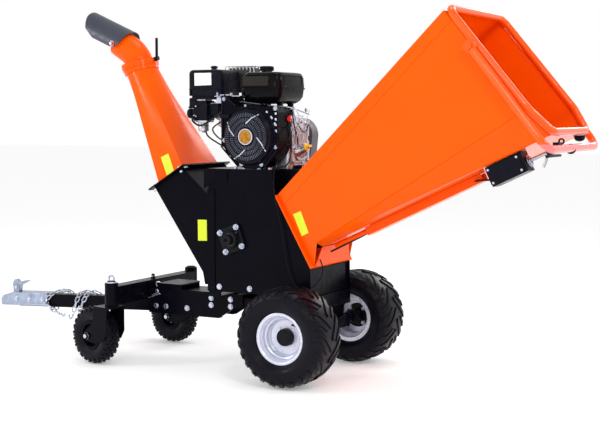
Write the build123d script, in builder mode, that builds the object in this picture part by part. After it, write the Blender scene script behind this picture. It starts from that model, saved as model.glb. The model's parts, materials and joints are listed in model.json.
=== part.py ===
from build123d import *
import math
import os

# Towable wood chipper with a drum rotor, a petrol engine, a swivelling discharge chute and a
# tilted feed hopper. Millimetres, +Z up, +X towards the feed hopper, -X towards the tow coupler.
# The origin is on the ground, under the middle of the machine's bounding box.
# The side with the recoil starter, at -Y, is called near, and the belt drive side, at +Y, far.

# ---- driving dimensions ----
AXLE_X = 333.0              # main axle
TYRE_R, TYRE_W = 203.0, 203.0     # 16x8-7 tyre
RIM_R, RIM_HALF_W = 104.0, 76.0   # 7 inch rim, over its flanges
WHEEL_Y = 306.0             # mid-plane of each main wheel
AXLE_R = 12.5
CASTER_X, CASTER_Y = -536.0, 308.0
CASTER_R, CASTER_W = 127.0, 82.0  # 10 inch caster tyre
CASTER_TRAIL = 105.0
CASTER_SWIVEL = {"near": 12.0, "far": 6.0}  # degrees off straight back, towards +Y
STEM_R = 17.5
RUN_FIT = 0.05              # radial clearance of a shaft in its bore
GAP = 0.4                   # clearance between parts on different bodies
PLATE = 6.0                 # frame and housing plate
SHEET = 3.0                 # hopper and chute sheet
BODY_HALF = 180.0           # outer faces of the two housing plates
DRUM_X, DRUM_Z = -4.0, 564.0
DRUM_R, DRUM_HALF_W = 95.0, 150.0
SHAFT_R = 15.0              # 30 mm drum shaft in four-bolt flange bearings
BEARING_SIDE, BEARING_PITCH, BEARING_TILT = 108.0, 83.0, 20.0
CRANK_X, CRANK_Z = 89.0, 991.0
DECK_TOP = 857.0            # face that the engine stands on
DRUM_PULLEY_R, ENGINE_PULLEY_R = 100.0, 55.0
BELT_Y = 214.0              # inner face of both pulleys
PULLEY_W = 28.0
GROOVES = (7.0, 20.0)       # middles of the two grooves from the pulley's inner face
RAIL_HALF = 75.0            # outer faces of the two front rails
DRAWBAR = 60.0
DRAWBAR_TILT = 2.5          # the drawbar falls towards the coupler
DRAWBAR_Z = 234.0           # its centre line at the caster cross beam
BALL_R = 25.0               # 50 mm tow ball
HOPPER_TILT = 40.0          # elevation that the hopper's mouth faces
MOUTH_LENGTH, MOUTH_HALF_W, MOUTH_SILL_HALF = 588.0, 290.0, 215.0
RIM_TUBE_R = 15.0
BAR_PIVOT_X, BAR_PIVOT_Z, BAR_Y, BAR_PIN_R = 1089.0, 1326.0, 321.0, 8.0
CHUTE_TILT = 16.0           # lean of the chute's swivel axis
CHUTE_TOP_X, CHUTE_TOP_Z = -590.0, 1287.0
CHUTE_TUBE_R = 70.0
# Bolts through the two front rails and through the foot of each housing plate, as (x, z).
RAIL_BOLTS = ((-178, 292), (-178, 261), (-80, 292), (-80, 261), (-467, 238), (-415, 238), (-303, 238))
PLATE_BOLTS = ((-70, 361), (78, 361))

ON_END = (Align.CENTER, Align.CENTER, Align.MIN)    # a cylinder that starts at its place

os.makedirs("parts", exist_ok=True)


def save(name, builder):
    builder.part.label = name
    export_step(builder.part, f"parts/{name}.step")


def side_plane(y):
    """A plane across Y whose local axes are X and Z. It extrudes towards -Y."""
    return Plane.XZ.offset(-y)


def turned(angle):
    """Unit vector in the XZ plane, so many degrees above +X."""
    return Vector(math.cos(math.radians(angle)), 0, math.sin(math.radians(angle)))


def sheet_panel(corners, thickness):
    """Adds a flat sheet whose inner face has these corners, thickened along its normal."""
    first, second, third = (Vector(*c) for c in corners[:3])
    normal = (second - first).cross(third - first).normalized()
    plane = Plane(origin=first, x_dir=second - first, z_dir=normal)
    local = [plane.to_local_coords(Vector(*c)) for c in corners]
    with BuildSketch(plane) as panel:
        Polygon(*[(p.X, p.Y) for p in local])
    extrude(panel.sketch, amount=thickness)


def tube_along(points, radii, outer, inner, start_dir):
    """Adds a round tube along straight runs joined by arcs."""
    with BuildLine() as route:
        FilletPolyline(*points, radius=radii)
    for radius, mode in ((outer, Mode.ADD), (inner, Mode.SUBTRACT)):
        with BuildSketch(Plane(origin=points[0], z_dir=start_dir)) as section:
            Circle(radius)
        sweep(section.sketch, path=route.wires()[0], mode=mode)


# ================= running gear =================
CROSS_LOW, CROSS_HIGH = 280.0, 340.0
CROSS_X0, CROSS_X1 = AXLE_X - 25, AXLE_X + 35
HUB_FACE_Y = WHEEL_Y - 66       # inner end of each wheel hub
AXLE_END_Y = WHEEL_Y + 42

with BuildPart() as axle_frame:
    # Cross member under the housing, and the axle tube hung below it on two risers.
    with BuildSketch(Plane.XZ):
        with Locations(((CROSS_X0 + CROSS_X1) / 2, (CROSS_LOW + CROSS_HIGH) / 2)):
            Rectangle(60, 60)
            Rectangle(52, 52, mode=Mode.SUBTRACT)
        with Locations((AXLE_X, TYRE_R)):
            Rectangle(50, 50)
            Rectangle(42, 42, mode=Mode.SUBTRACT)
    extrude(amount=175, both=True)
    for side in (-1, 1):
        with BuildSketch(side_plane(side * 125 + 5)):
            Polygon((AXLE_X - 25, 228), (AXLE_X + 25, 228), (CROSS_X1 - 5, 280), (CROSS_X0 + 5, 280))
        extrude(amount=10)
        with BuildSketch(side_plane(side * 179 + 4)):
            with Locations((AXLE_X, TYRE_R)):
                Rectangle(56, 56)
        extrude(amount=8)
        with Locations(Plane(origin=(AXLE_X, side * 183, TYRE_R), z_dir=(0, side, 0))):
            Cylinder(AXLE_R, AXLE_END_Y - 183, align=ON_END)
            Cylinder(22, HUB_FACE_Y - 184, align=ON_END)
        with BuildSketch(Plane(origin=(AXLE_X, side * (WHEEL_Y + 28), TYRE_R), z_dir=(0, side, 0))):
            RegularPolygon(20, 6)
        extrude(amount=12)
    # Base tubes that run forward from the cross member between the front rails.
    with BuildSketch(Plane.YZ.offset(-190)):
        with Locations((-46, 280), (46, 280)):
            Rectangle(42, 42)
            Rectangle(34, 34, mode=Mode.SUBTRACT)
    extrude(amount=CROSS_X0 + 190)
save("axle_frame", axle_frame)


def tyre(centre, axle_dir, radius, half_width, bead_r, bead_half):
    """A hollow carcass revolved about its axle."""
    plane = Plane(origin=centre, x_dir=axle_dir, z_dir=Vector(*axle_dir).cross(Vector(0, 0, 1)))
    crown = radius * 0.975
    wall_r = (radius + bead_r) * 0.5
    with BuildPart() as made:
        with BuildSketch(plane):
            for grow, mode in ((0, Mode.ADD), (radius * 0.045, Mode.SUBTRACT)):
                low = bead_r - (1 if grow else 0)
                with BuildLine():
                    right = half_width - grow
                    bead = bead_half - grow
                    tread = (half_width * 0.86 - grow, crown - grow)
                    foot = (bead, bead_r + radius * 0.06)
                    Polyline((-bead, low), (bead, low), foot)
                    ThreePointArc(foot, (right, wall_r), tread)
                    ThreePointArc(tread, (0, radius - grow), (-tread[0], tread[1]))
                    ThreePointArc((-tread[0], tread[1]), (-right, wall_r), (-foot[0], foot[1]))
                    Line((-foot[0], foot[1]), (-bead, low))
                make_face(mode=mode)
        revolve(axis=Axis(centre, axle_dir))
    return made


def wheel_rim(centre, axle_dir, section):
    """A rim with its disc and hub, revolved from a closed section of (along, radius)."""
    plane = Plane(origin=centre, x_dir=axle_dir, z_dir=Vector(*axle_dir).cross(Vector(0, 0, 1)))
    with BuildPart() as made:
        with BuildSketch(plane):
            Polygon(*section)
        revolve(axis=Axis(centre, axle_dir))
    return made


BORE_R = AXLE_R + RUN_FIT
# Main rim section: positive is towards the outside of the machine.
RIM_SECTION = (
    (-76, 104), (-72, 104), (-71, 91), (-48, 89), (-42, 77), (24, 77), (34, 89), (71, 91),
    (72, 104), (76, 104), (76, 88), (37, 86), (27, 74), (18, 73), (18, 34), (27, 32),
    (27, BORE_R), (-65, BORE_R), (-65, 30), (10, 32), (12, 74), (-44, 74), (-50, 86), (-76, 88),
)
for name, side in (("near", -1), ("far", 1)):
    hub = (AXLE_X, side * WHEEL_Y, TYRE_R)
    tyre_part = tyre(hub, (0, side, 0), TYRE_R, TYRE_W / 2, 91.3, 70.5)
    save(f"wheel_tyre_{name}", tyre_part)
    rim_part = wheel_rim(hub, (0, side, 0), RIM_SECTION)
    save(f"wheel_rim_{name}", rim_part)

# ---- caster cross beam and casters ----
PIVOT_LOW, PIVOT_HIGH = 262.0, 362.0
with BuildPart() as front_crossbeam:
    with BuildSketch(Plane.XZ):
        with Locations((CASTER_X, 308)):
            Rectangle(60, 80)
            Rectangle(52, 72, mode=Mode.SUBTRACT)
    extrude(amount=CASTER_Y - 10, both=True)
    with BuildSketch(Plane.XY.offset(PIVOT_LOW)):
        with Locations((CASTER_X, -CASTER_Y), (CASTER_X, CASTER_Y)):
            Circle(29)
    extrude(amount=PIVOT_HIGH - PIVOT_LOW)
    with BuildSketch(Plane.XY.offset(PIVOT_LOW)):
        with Locations((CASTER_X, -CASTER_Y), (CASTER_X, CASTER_Y)):
            Circle(STEM_R + RUN_FIT)
    extrude(amount=PIVOT_HIGH - PIVOT_LOW, mode=Mode.SUBTRACT)
save("front_crossbeam", front_crossbeam)

FORK_TOP, FORK_PLATE, LEG_T = 261.0, 8.0, 6.0
CASTER_BOLT_R = 8.0
CASTER_RIM_SECTION = (
    (-34, 62), (-31, 62), (-30, 53), (-16, 50), (16, 50), (30, 53), (31, 62), (34, 62),
    (34, 50), (19, 47), (6, 46), (6, 22), (37, 20), (37, CASTER_BOLT_R + RUN_FIT),
    (-37, CASTER_BOLT_R + RUN_FIT), (-37, 20), (-6, 22), (-6, 46), (-19, 47), (-34, 50),
)
for name, side in (("near", -1), ("far", 1)):
    swivel = math.radians(CASTER_SWIVEL[name])
    back = Vector(-math.cos(swivel), math.sin(swivel), 0)
    across = Vector(-back.Y, back.X, 0)
    stem = Vector(CASTER_X, side * CASTER_Y, 0)
    hub = stem + back * CASTER_TRAIL + Vector(0, 0, CASTER_R)
    leg_in = CASTER_W / 2 + 5
    with BuildPart() as caster_fork:
        with BuildSketch(Plane(origin=stem, x_dir=back, z_dir=(0, 0, 1)).offset(FORK_TOP - FORK_PLATE)):
            with Locations((15, 0)):
                RectangleRounded(94, 2 * leg_in + 2 * LEG_T, 10)
        extrude(amount=FORK_PLATE)
        with BuildSketch(Plane(origin=stem, z_dir=(0, 0, 1)).offset(FORK_TOP)):
            Circle(STEM_R)
        extrude(amount=PIVOT_HIGH - FORK_TOP + 9)
        for hand in (-1, 1):
            leg = Plane(origin=stem + across * (hand * leg_in), x_dir=back, z_dir=across * hand)
            with BuildSketch(leg):
                # Broad leg from the top plate down to the bolt.
                up = 1 if leg.y_dir.Z > 0 else -1
                Polygon((-22, up * 256), (62, up * 256), (66, up * 188), (CASTER_TRAIL + 15, up * 146),
                        (CASTER_TRAIL + 22, up * 124), (CASTER_TRAIL + 6, up * 105), (46, up * 99),
                        (0, up * 116), (-22, up * 152))
            extrude(amount=LEG_T)
        bolt_line = Plane(origin=hub - across * (leg_in + LEG_T + 12), z_dir=across)
        with BuildSketch(bolt_line):
            Circle(CASTER_BOLT_R)
        extrude(amount=2 * (leg_in + LEG_T + 12))
        for end in (0, 2 * (leg_in + LEG_T + 12) - 11):
            with BuildSketch(bolt_line.offset(end)):
                RegularPolygon(15, 6)
            extrude(amount=11)
    save(f"caster_fork_{name}", caster_fork)
    tyre_part = tyre(tuple(hub), tuple(across), CASTER_R, CASTER_W / 2, 53.3, 29.5)
    save(f"caster_tyre_{name}", tyre_part)
    rim_part = wheel_rim(tuple(hub), tuple(across), CASTER_RIM_SECTION)
    save(f"caster_rim_{name}", rim_part)

# ================= front frame and hitch =================
RAIL_LOW, RAIL_HIGH = 206.0, 312.0
with BuildPart() as front_rails:
    rail_side = ((-506, RAIL_LOW), (-140, RAIL_LOW), (-74, 248), (-20, 264), (-20, RAIL_HIGH),
                 (-335, RAIL_HIGH), (-335, 334), (-450, 334), (-478, RAIL_HIGH), (-506, RAIL_HIGH))
    for side in (-1, 1):
        outer = -RAIL_HALF + PLATE if side < 0 else RAIL_HALF
        with BuildSketch(side_plane(outer)):
            Polygon(*rail_side)
            with Locations(*RAIL_BOLTS):
                Circle(5.5, mode=Mode.SUBTRACT)
        extrude(amount=PLATE)
        # Bottom flange of the rail.
        with BuildSketch(Plane.XY.offset(RAIL_LOW)):
            with Locations((-323, side * (RAIL_HALF - PLATE - 12))):
                Rectangle(366, 24)
        extrude(amount=PLATE - 1.5)
    # Cover over the rails, with the raised cap of the yoke.
    with BuildSketch(Plane.XY.offset(RAIL_HIGH)):
        with Locations((-177.5, 0)):
            Rectangle(315, 2 * RAIL_HALF)
    extrude(amount=5)
    with BuildSketch(Plane.XY.offset(334)):
        with Locations((-392.5, 0)):
            RectangleRounded(125, 2 * RAIL_HALF + 6, 12)
    extrude(amount=6)
    # Cross support under the front of the housing.
    with BuildSketch(Plane.YZ.offset(-122)):
        with Locations((0, 328.5)):
            Rectangle(2 * BODY_HALF, 23)
            Rectangle(2 * BODY_HALF - 16, 15, mode=Mode.SUBTRACT)
    extrude(amount=56)
save("front_rails", front_rails)

# The drawbar's own frame: local x runs from the cross beam towards the coupler.
draw_dir = Vector(-math.cos(math.radians(DRAWBAR_TILT)), 0, -math.sin(math.radians(DRAWBAR_TILT)))
draw_up = Vector(draw_dir.Z, 0, -draw_dir.X)
DRAW_ORIGIN = Vector(CASTER_X, 0, DRAWBAR_Z)
draw_section = Plane(origin=DRAW_ORIGIN, x_dir=(0, 1, 0), z_dir=draw_dir)
draw_side = Plane(origin=DRAW_ORIGIN, x_dir=draw_dir, z_dir=(0, -1, 0))
DRAW_SIGN = 1 if draw_side.y_dir.Z > 0 else -1
draw_top = Plane(origin=DRAW_ORIGIN, x_dir=draw_dir, z_dir=draw_up)
TUBE_END = 762.0            # drawbar's front end, inside the coupler
COUPLER_REAR, COUPLER_NOSE = 580.0, 862.8
CHAIN_PLACES = (546, 354)       # where each safety chain goes round the drawbar
with BuildPart() as drawbar:
    with BuildSketch(draw_section.offset(-254)):
        RectangleRounded(DRAWBAR, DRAWBAR, 5)
        RectangleRounded(DRAWBAR - 8, DRAWBAR - 8, 3, mode=Mode.SUBTRACT)
    extrude(amount=254 + TUBE_END)
    for along in (-233, -121, -69):
        with Locations(Plane(origin=DRAW_ORIGIN + draw_dir * along, z_dir=(0, 1, 0))):
            Cylinder(5.5, 80, mode=Mode.SUBTRACT)
save("drawbar", drawbar)

BALL_ALONG = 824.0
LATCH_ALONG, LATCH_HEIGHT, LATCH_PIN_R = 790.0, 56.0, 4.0
BALL_BORE_R = BALL_R + 0.2
with BuildPart() as hitch_coupler:
    # Pressed channel over the drawbar's end, closing into the nose that holds the ball cup.
    with BuildSketch(draw_side.offset(-38)):
        Polygon((COUPLER_REAR, DRAW_SIGN * 36), (790, DRAW_SIGN * 36), (846, DRAW_SIGN * 22),
                (COUPLER_NOSE, DRAW_SIGN * 6), (COUPLER_NOSE, DRAW_SIGN * -26),
                (COUPLER_REAR, DRAW_SIGN * -26))
    extrude(amount=76)
    with BuildSketch(draw_section.offset(COUPLER_REAR)):
        Rectangle(DRAWBAR + 0.6, 120)
    extrude(amount=TUBE_END - COUPLER_REAR + 1, mode=Mode.SUBTRACT)
    with BuildSketch(draw_section.offset(COUPLER_REAR)):
        with Locations((0, 33.3 * (1 if draw_section.y_dir.dot(draw_up) > 0 else -1))):
            Rectangle(76, 5.4)
    extrude(amount=TUBE_END - COUPLER_REAR)
    with BuildSketch(draw_top.offset(-27)):
        with Locations((BALL_ALONG, 0)):
            Circle(BALL_BORE_R)
    extrude(amount=32, mode=Mode.SUBTRACT)
    # Ears and cross pin of the latch.
    for start in (-12.5, 9.5):
        with BuildSketch(draw_side.offset(start)):
            with Locations((LATCH_ALONG, DRAW_SIGN * 50)):
                RectangleRounded(34, 40, 8)
        extrude(amount=3)
    with BuildSketch(draw_side.offset(-13)):
        with Locations((LATCH_ALONG, DRAW_SIGN * LATCH_HEIGHT)):
            Circle(LATCH_PIN_R)
    extrude(amount=26)
    nose_edges = hitch_coupler.edges().filter_by(Axis.Y).sort_by(Axis.X)[:2]
    fillet(nose_edges, 8)
save("hitch_coupler", hitch_coupler)

latch_pivot = DRAW_ORIGIN + draw_dir * LATCH_ALONG + draw_up * LATCH_HEIGHT
print("latch pivot", latch_pivot)
with BuildPart() as hitch_latch:
    # Cranked handle over the coupler, turning on a cross pin.
    with BuildSketch(draw_side.offset(-9)):
        Polygon((LATCH_ALONG - 22, DRAW_SIGN * 43), (LATCH_ALONG + 10, DRAW_SIGN * 43),
                (LATCH_ALONG + 24, DRAW_SIGN * 68), (LATCH_ALONG + 14, DRAW_SIGN * 92),
                (LATCH_ALONG - 4, DRAW_SIGN * 96), (LATCH_ALONG - 16, DRAW_SIGN * 82),
                (LATCH_ALONG - 72, DRAW_SIGN * 92), (LATCH_ALONG - 74, DRAW_SIGN * 86),
                (LATCH_ALONG - 24, DRAW_SIGN * 66))
        with Locations((LATCH_ALONG, DRAW_SIGN * LATCH_HEIGHT)):
            Circle(LATCH_PIN_R + RUN_FIT, mode=Mode.SUBTRACT)
    extrude(amount=18)
save("hitch_latch", hitch_latch)

CHAIN_WIRE = 7.0
with BuildPart() as safety_chains:
    # Each chain's turn round the drawbar, as a plain band.
    for along in CHAIN_PLACES:
        with BuildSketch(draw_section.offset(along)):
            RectangleRounded(DRAWBAR + 2 * CHAIN_WIRE + 1, DRAWBAR + 2 * CHAIN_WIRE + 1, 9)
            RectangleRounded(DRAWBAR + 1, DRAWBAR + 1, 5, mode=Mode.SUBTRACT)
        extrude(amount=22)
save("safety_chains", safety_chains)

# ================= housing =================
ANGLE_TOP = 770.0
housing_outline = ((-122, 340), (-122, 850), (187, 850), (189, 795), (199, 752), (362, 466), (366, 340))
for name, side in (("near", -1), ("far", 1)):
    outer = -BODY_HALF + PLATE if side < 0 else BODY_HALF
    with BuildPart() as housing_plate:
        with BuildSketch(side_plane(outer)):
            Polygon(*housing_outline)
            with Locations((DRUM_X, DRUM_Z)):
                Circle(40, mode=Mode.SUBTRACT)
                with Locations(Rotation(0, 0, BEARING_TILT)):
                    with GridLocations(BEARING_PITCH, BEARING_PITCH, 2, 2):
                        Circle(6.2, mode=Mode.SUBTRACT)
            with Locations(*PLATE_BOLTS):
                Circle(5.2, mode=Mode.SUBTRACT)
        extrude(amount=PLATE)
        # Angle down the front edge.
        angle_y = outer - PLATE if side < 0 else outer + 4
        with BuildSketch(side_plane(angle_y)):
            Polygon((-122, 340), (-90, 340), (-90, ANGLE_TOP), (-122, ANGLE_TOP))
        extrude(amount=4)
        with BuildSketch(Plane.YZ.offset(-126)):
            with Locations((side * (BODY_HALF - 5), (340 + ANGLE_TOP) / 2)):
                Rectangle(18, ANGLE_TOP - 340)
        extrude(amount=4)
    save(f"housing_{name}_plate", housing_plate)

CASING_R = 126.0
INNER_HALF = BODY_HALF - PLATE - 0.5
with BuildPart() as drum_casing:
    # Scroll sheet under the drum, the feed floor that leads to it, and the rear closing plate.
    with BuildSketch(Plane.XZ):
        start, end = math.radians(-50), math.radians(-150)
        middle = (start + end) / 2
        arcs = []
        for r in (CASING_R, CASING_R + 5):
            arcs.append([(DRUM_X + r * math.cos(a), DRUM_Z + r * math.sin(a)) for a in (start, middle, end)])
        with BuildLine():
            ThreePointArc(*arcs[0])
            Line(arcs[0][2], arcs[1][2])
            ThreePointArc(*reversed(arcs[1]))
            Line(arcs[1][0], (345, 455))
            Line((345, 455), (345, 461))
            Line((345, 461), arcs[0][0])
        make_face()
        with Locations((350.5, 398)):
            Rectangle(5, 114)
    extrude(amount=INNER_HALF, both=True)
save("drum_casing", drum_casing)

flange_dir = Vector(148, 91).normalized()
FLANGE_START = Vector(-405, 766)
with BuildPart() as discharge_transition:
    # Tapering duct from the drum's front to the sloping chute flange.
    with BuildSketch(Plane.XZ):
        Polygon((-403, 770), (-259, 859), (-130, 745), (-126.5, 741), (-126.5, 365),
                (-149, 365), (-159, 416))
    extrude(amount=169, both=True)
    with BuildSketch(Plane.XZ):
        Polygon((-415.7, 797), (-282, 874), (-132.6, 742), (-120, 742), (-120, 369),
                (-147, 369), (-155.7, 418.3))
    extrude(amount=165, both=True, mode=Mode.SUBTRACT)
    flange_plane = Plane(origin=(FLANGE_START.X, 0, FLANGE_START.Y), x_dir=(flange_dir.X, 0, flange_dir.Y),
                         z_dir=(-flange_dir.Y, 0, flange_dir.X))
    with BuildSketch(flange_plane):
        with Locations((87, 0)):
            RectangleRounded(214, 378, 6)
            Rectangle(144, 300, mode=Mode.SUBTRACT)
    extrude(amount=6)
save("discharge_transition", discharge_transition)

chute_axis = turned(90 + CHUTE_TILT)
chute_side = turned(CHUTE_TILT)
chute_top = Plane(origin=(CHUTE_TOP_X, 0, CHUTE_TOP_Z), x_dir=chute_side, z_dir=chute_axis)
with BuildPart() as discharge_chute:
    # Square-to-round chute, its foot flange and the swivel collar at its top.
    with BuildSketch(flange_plane.offset(6)):
        with Locations((87, 0)):
            Rectangle(146, 290)
    with BuildSketch(chute_top):
        Circle(CHUTE_TUBE_R)
    loft(ruled=True)
    with BuildSketch(flange_plane.offset(6)):
        with Locations((87, 0)):
            Rectangle(140, 284)
    with BuildSketch(chute_top):
        Circle(CHUTE_TUBE_R - SHEET)
    loft(ruled=True, mode=Mode.SUBTRACT)
    with BuildSketch(flange_plane.offset(6)):
        with Locations((87, 0)):
            RectangleRounded(176, 330, 6)
            Rectangle(141, 285, mode=Mode.SUBTRACT)
    extrude(amount=4)
    with BuildSketch(chute_top):
        Circle(82)
        Circle(CHUTE_TUBE_R - SHEET, mode=Mode.SUBTRACT)
    extrude(amount=8)
    with BuildSketch(chute_top.offset(-18)):
        Circle(CHUTE_TUBE_R + 8)
        Circle(CHUTE_TUBE_R - SHEET + 1, mode=Mode.SUBTRACT)
    extrude(amount=18)
save("discharge_chute", discharge_chute)

ELBOW_R, ELBOW_BEND, ELBOW_END_TILT, ELBOW_STRAIGHT = 62.0, 130.0, 57.5, 62.0
elbow_base = chute_top.offset(8 + GAP)
bend_centre = elbow_base.origin - chute_side * ELBOW_BEND
bend_end = bend_centre + turned(ELBOW_END_TILT) * ELBOW_BEND
end_dir = turned(90 + ELBOW_END_TILT)
DEFLECTOR_PIVOT = bend_end + end_dir * 48
DEFLECTOR_PIN_R = 6.0
with BuildPart() as chute_elbow:
    with BuildSketch(elbow_base):
        Circle(83.5)
        Circle(ELBOW_R - SHEET, mode=Mode.SUBTRACT)
    extrude(amount=16)
    with BuildSketch(elbow_base):
        Circle(ELBOW_R)
        Circle(ELBOW_R - SHEET, mode=Mode.SUBTRACT)
    revolve(axis=Axis(bend_centre, (0, -1, 0)), revolution_arc=ELBOW_END_TILT - CHUTE_TILT)
    with BuildSketch(Plane(origin=bend_end, x_dir=(0, 1, 0), z_dir=end_dir)):
        Circle(ELBOW_R)
        Circle(ELBOW_R - SHEET, mode=Mode.SUBTRACT)
    extrude(amount=ELBOW_STRAIGHT)
    # Bolts on both sides that the deflector turns on.
    for side in (-1, 1):
        with Locations(Plane(origin=DEFLECTOR_PIVOT + Vector(0, side * 56, 0), z_dir=(0, side, 0))):
            Cylinder(DEFLECTOR_PIN_R, 30, align=ON_END)
        with Locations(Plane(origin=DEFLECTOR_PIVOT + Vector(0, side * 81, 0), z_dir=(0, side, 0))):
            Cylinder(10, 6, align=ON_END)
save("chute_elbow", chute_elbow)

# Half-round deflector hinged on the elbow's sides.
RIDGE_START = Vector(-623, 0, 1447)
ridge_dir = Vector(-0.917, 0, 0.4).normalized()
ridge_down = Vector(-ridge_dir.Z, 0, ridge_dir.X)
DEFLECTOR_R = 80.0
with BuildPart() as deflector:
    hood = Plane(origin=RIDGE_START + ridge_down * DEFLECTOR_R, x_dir=(0, 1, 0), z_dir=ridge_dir)
    up = 1 if hood.y_dir.dot(ridge_down) < 0 else -1
    with BuildSketch(hood):
        for r, mode in ((DEFLECTOR_R, Mode.ADD), (DEFLECTOR_R - 2.5, Mode.SUBTRACT)):
            low = -up * (12 if mode == Mode.ADD else 20)
            with BuildLine():
                Polyline((r, 0), (r, low), (-r, low), (-r, 0))
                ThreePointArc((-r, 0), (0, up * r), (r, 0))
            make_face(mode=mode)
    extrude(amount=240)
    hood_side = Plane(origin=RIDGE_START, x_dir=ridge_dir, z_dir=(0, -1, 0))
    down = 1 if hood_side.y_dir.dot(ridge_down) > 0 else -1
    with BuildSketch(hood_side):
        Polygon((0, down * -1), (240, down * -1), (232, down * 22), (205, down * 66), (152, down * 91),
                (52, down * 91), (26, down * 86), (10, down * 58))
    extrude(amount=100, both=True, mode=Mode.INTERSECT)
    with Locations(Plane(origin=DEFLECTOR_PIVOT, z_dir=(0, 1, 0))):
        Cylinder(DEFLECTOR_PIN_R + RUN_FIT, 200, mode=Mode.SUBTRACT)
save("deflector", deflector)
print("deflector pivot", DEFLECTOR_PIVOT)

# Clamp lever on the elbow's ring: it turns on a screw that points away from the swivel axis.
with BuildPart() as clamp_handle:
    screw = elbow_base.origin + chute_side * 84.5 + chute_axis * 8
    with Locations(Plane(origin=screw, z_dir=chute_side)):
        Cylinder(10, 18, align=ON_END)
    lever = Plane(origin=screw + chute_side * 9, x_dir=chute_side, z_dir=(0, 0, 1))
    with BuildSketch(lever):
        Circle(6)
    extrude(amount=90)
save("clamp_handle", clamp_handle)
print("clamp screw", screw)

# ================= rotor and drive =================
with BuildPart() as rotor_drum:
    # Drum tube on two end discs, with its shaft.
    with BuildSketch(side_plane(DRUM_HALF_W)):
        with Locations((DRUM_X, DRUM_Z)):
            Circle(DRUM_R)
            Circle(DRUM_R - 10, mode=Mode.SUBTRACT)
    extrude(amount=2 * DRUM_HALF_W)
    for y in (DRUM_HALF_W - 10, 10 - DRUM_HALF_W + 14):
        with BuildSketch(side_plane(y)):
            with Locations((DRUM_X, DRUM_Z)):
                Circle(DRUM_R - 8)
                with PolarLocations(55, 4):
                    Circle(14, mode=Mode.SUBTRACT)
        extrude(amount=14)
    with BuildSketch(side_plane(258)):
        with Locations((DRUM_X, DRUM_Z)):
            Circle(SHAFT_R)
    extrude(amount=258 + 212)
    # Turned end of the shaft outside the near bearing.
    with BuildSketch(side_plane(-209)):
        with Locations((DRUM_X, DRUM_Z)):
            Circle(22)
    extrude(amount=26)
    chamfer(rotor_drum.edges().filter_by(GeomType.CIRCLE).sort_by(Axis.Y)[0], 4)
save("rotor_drum", rotor_drum)

with BuildPart() as chipper_knives:
    # Two reversible blades clamped across the drum.
    for angle in (62, 242):
        out = turned(angle)
        seat = Plane(origin=Vector(DRUM_X, 0, DRUM_Z) + out * (DRUM_R + 0.1), x_dir=(0, 1, 0), z_dir=out)
        with BuildSketch(seat):
            Rectangle(2 * DRUM_HALF_W - 20, 44)
        extrude(amount=10)
save("chipper_knives", chipper_knives)


def pulley(centre_x, centre_z, radius, hub_r):
    """Two-groove V-belt pulley on the shaft that runs through it."""
    profile = [(hub_r, 0), (radius, 0)]
    for groove in GROOVES:
        profile += [(radius, groove - 4), (radius - 11, groove - 1)]
        profile += [(radius - 11, groove + 1), (radius, groove + 4)]
    profile += [(radius, PULLEY_W), (hub_r, PULLEY_W)]
    with BuildPart() as made:
        plane = Plane(origin=(centre_x, BELT_Y, centre_z), x_dir=(1, 0, 0), z_dir=(0, 0, -1))
        turn = 1 if plane.y_dir.Y > 0 else -1
        with BuildSketch(plane):
            Polygon(*[(r, turn * y) for r, y in profile])
        revolve(axis=Axis((centre_x, 0, centre_z), (0, 1, 0)))
    return made


save("drum_pulley", pulley(DRUM_X, DRUM_Z, DRUM_PULLEY_R, SHAFT_R + 0.01))
CRANK_R = 12.7
save("engine_pulley", pulley(CRANK_X, CRANK_Z, ENGINE_PULLEY_R, CRANK_R + 0.01))

with BuildPart() as crankshaft:
    # Shaft with two round webs inside the crankcase and the flywheel behind the recoil starter.
    with BuildSketch(side_plane(256)):
        with Locations((CRANK_X, CRANK_Z)):
            Circle(CRANK_R)
    extrude(amount=256 + 184)
    for y, length, r in ((40, 20, 52), (-8, 20, 52), (-112, 12, 106), (-124, 44, 60)):
        with BuildSketch(side_plane(y)):
            with Locations((CRANK_X, CRANK_Z)):
                Circle(r)
        extrude(amount=length)
save("crankshaft", crankshaft)

belt_run = Vector(CRANK_X - DRUM_X, CRANK_Z - DRUM_Z)
belt_angle = math.degrees(math.atan2(belt_run.Y, belt_run.X))


def drive_outline(low_r, high_r, mode=Mode.ADD):
    """Adds the face inside a line drawn round the drum's and the engine's circle, as an open belt."""
    lean = math.degrees(math.asin((low_r - high_r) / belt_run.length))
    ends = []
    for hand in (-1, 1):
        angle = math.radians(belt_angle + hand * (90 - lean))
        ray = Vector(math.cos(angle), math.sin(angle))
        ends.append((Vector(DRUM_X, DRUM_Z) + ray * low_r, Vector(CRANK_X, CRANK_Z) + ray * high_r))
    along = belt_run.normalized()
    with BuildLine() as outline:
        Line(ends[0][0], ends[0][1])
        ThreePointArc(ends[0][1], Vector(CRANK_X, CRANK_Z) + along * high_r, ends[1][1])
        Line(ends[1][1], ends[1][0])
        ThreePointArc(ends[1][0], Vector(DRUM_X, DRUM_Z) - along * low_r, ends[0][0])
    make_face(outline.edges(), mode=mode)


BELT_W = 3.5
with BuildPart() as drive_belts:
    # Two V-belts, drawn as plain bands just clear of the pulley grooves.
    for groove in GROOVES:
        with BuildSketch(side_plane(BELT_Y + groove + BELT_W / 2)):
            for shift, mode in ((1.5, Mode.ADD), (-6.0, Mode.SUBTRACT)):
                drive_outline(DRUM_PULLEY_R + shift, ENGINE_PULLEY_R + shift, mode)
        extrude(amount=BELT_W)
save("drive_belts", drive_belts)

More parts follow.
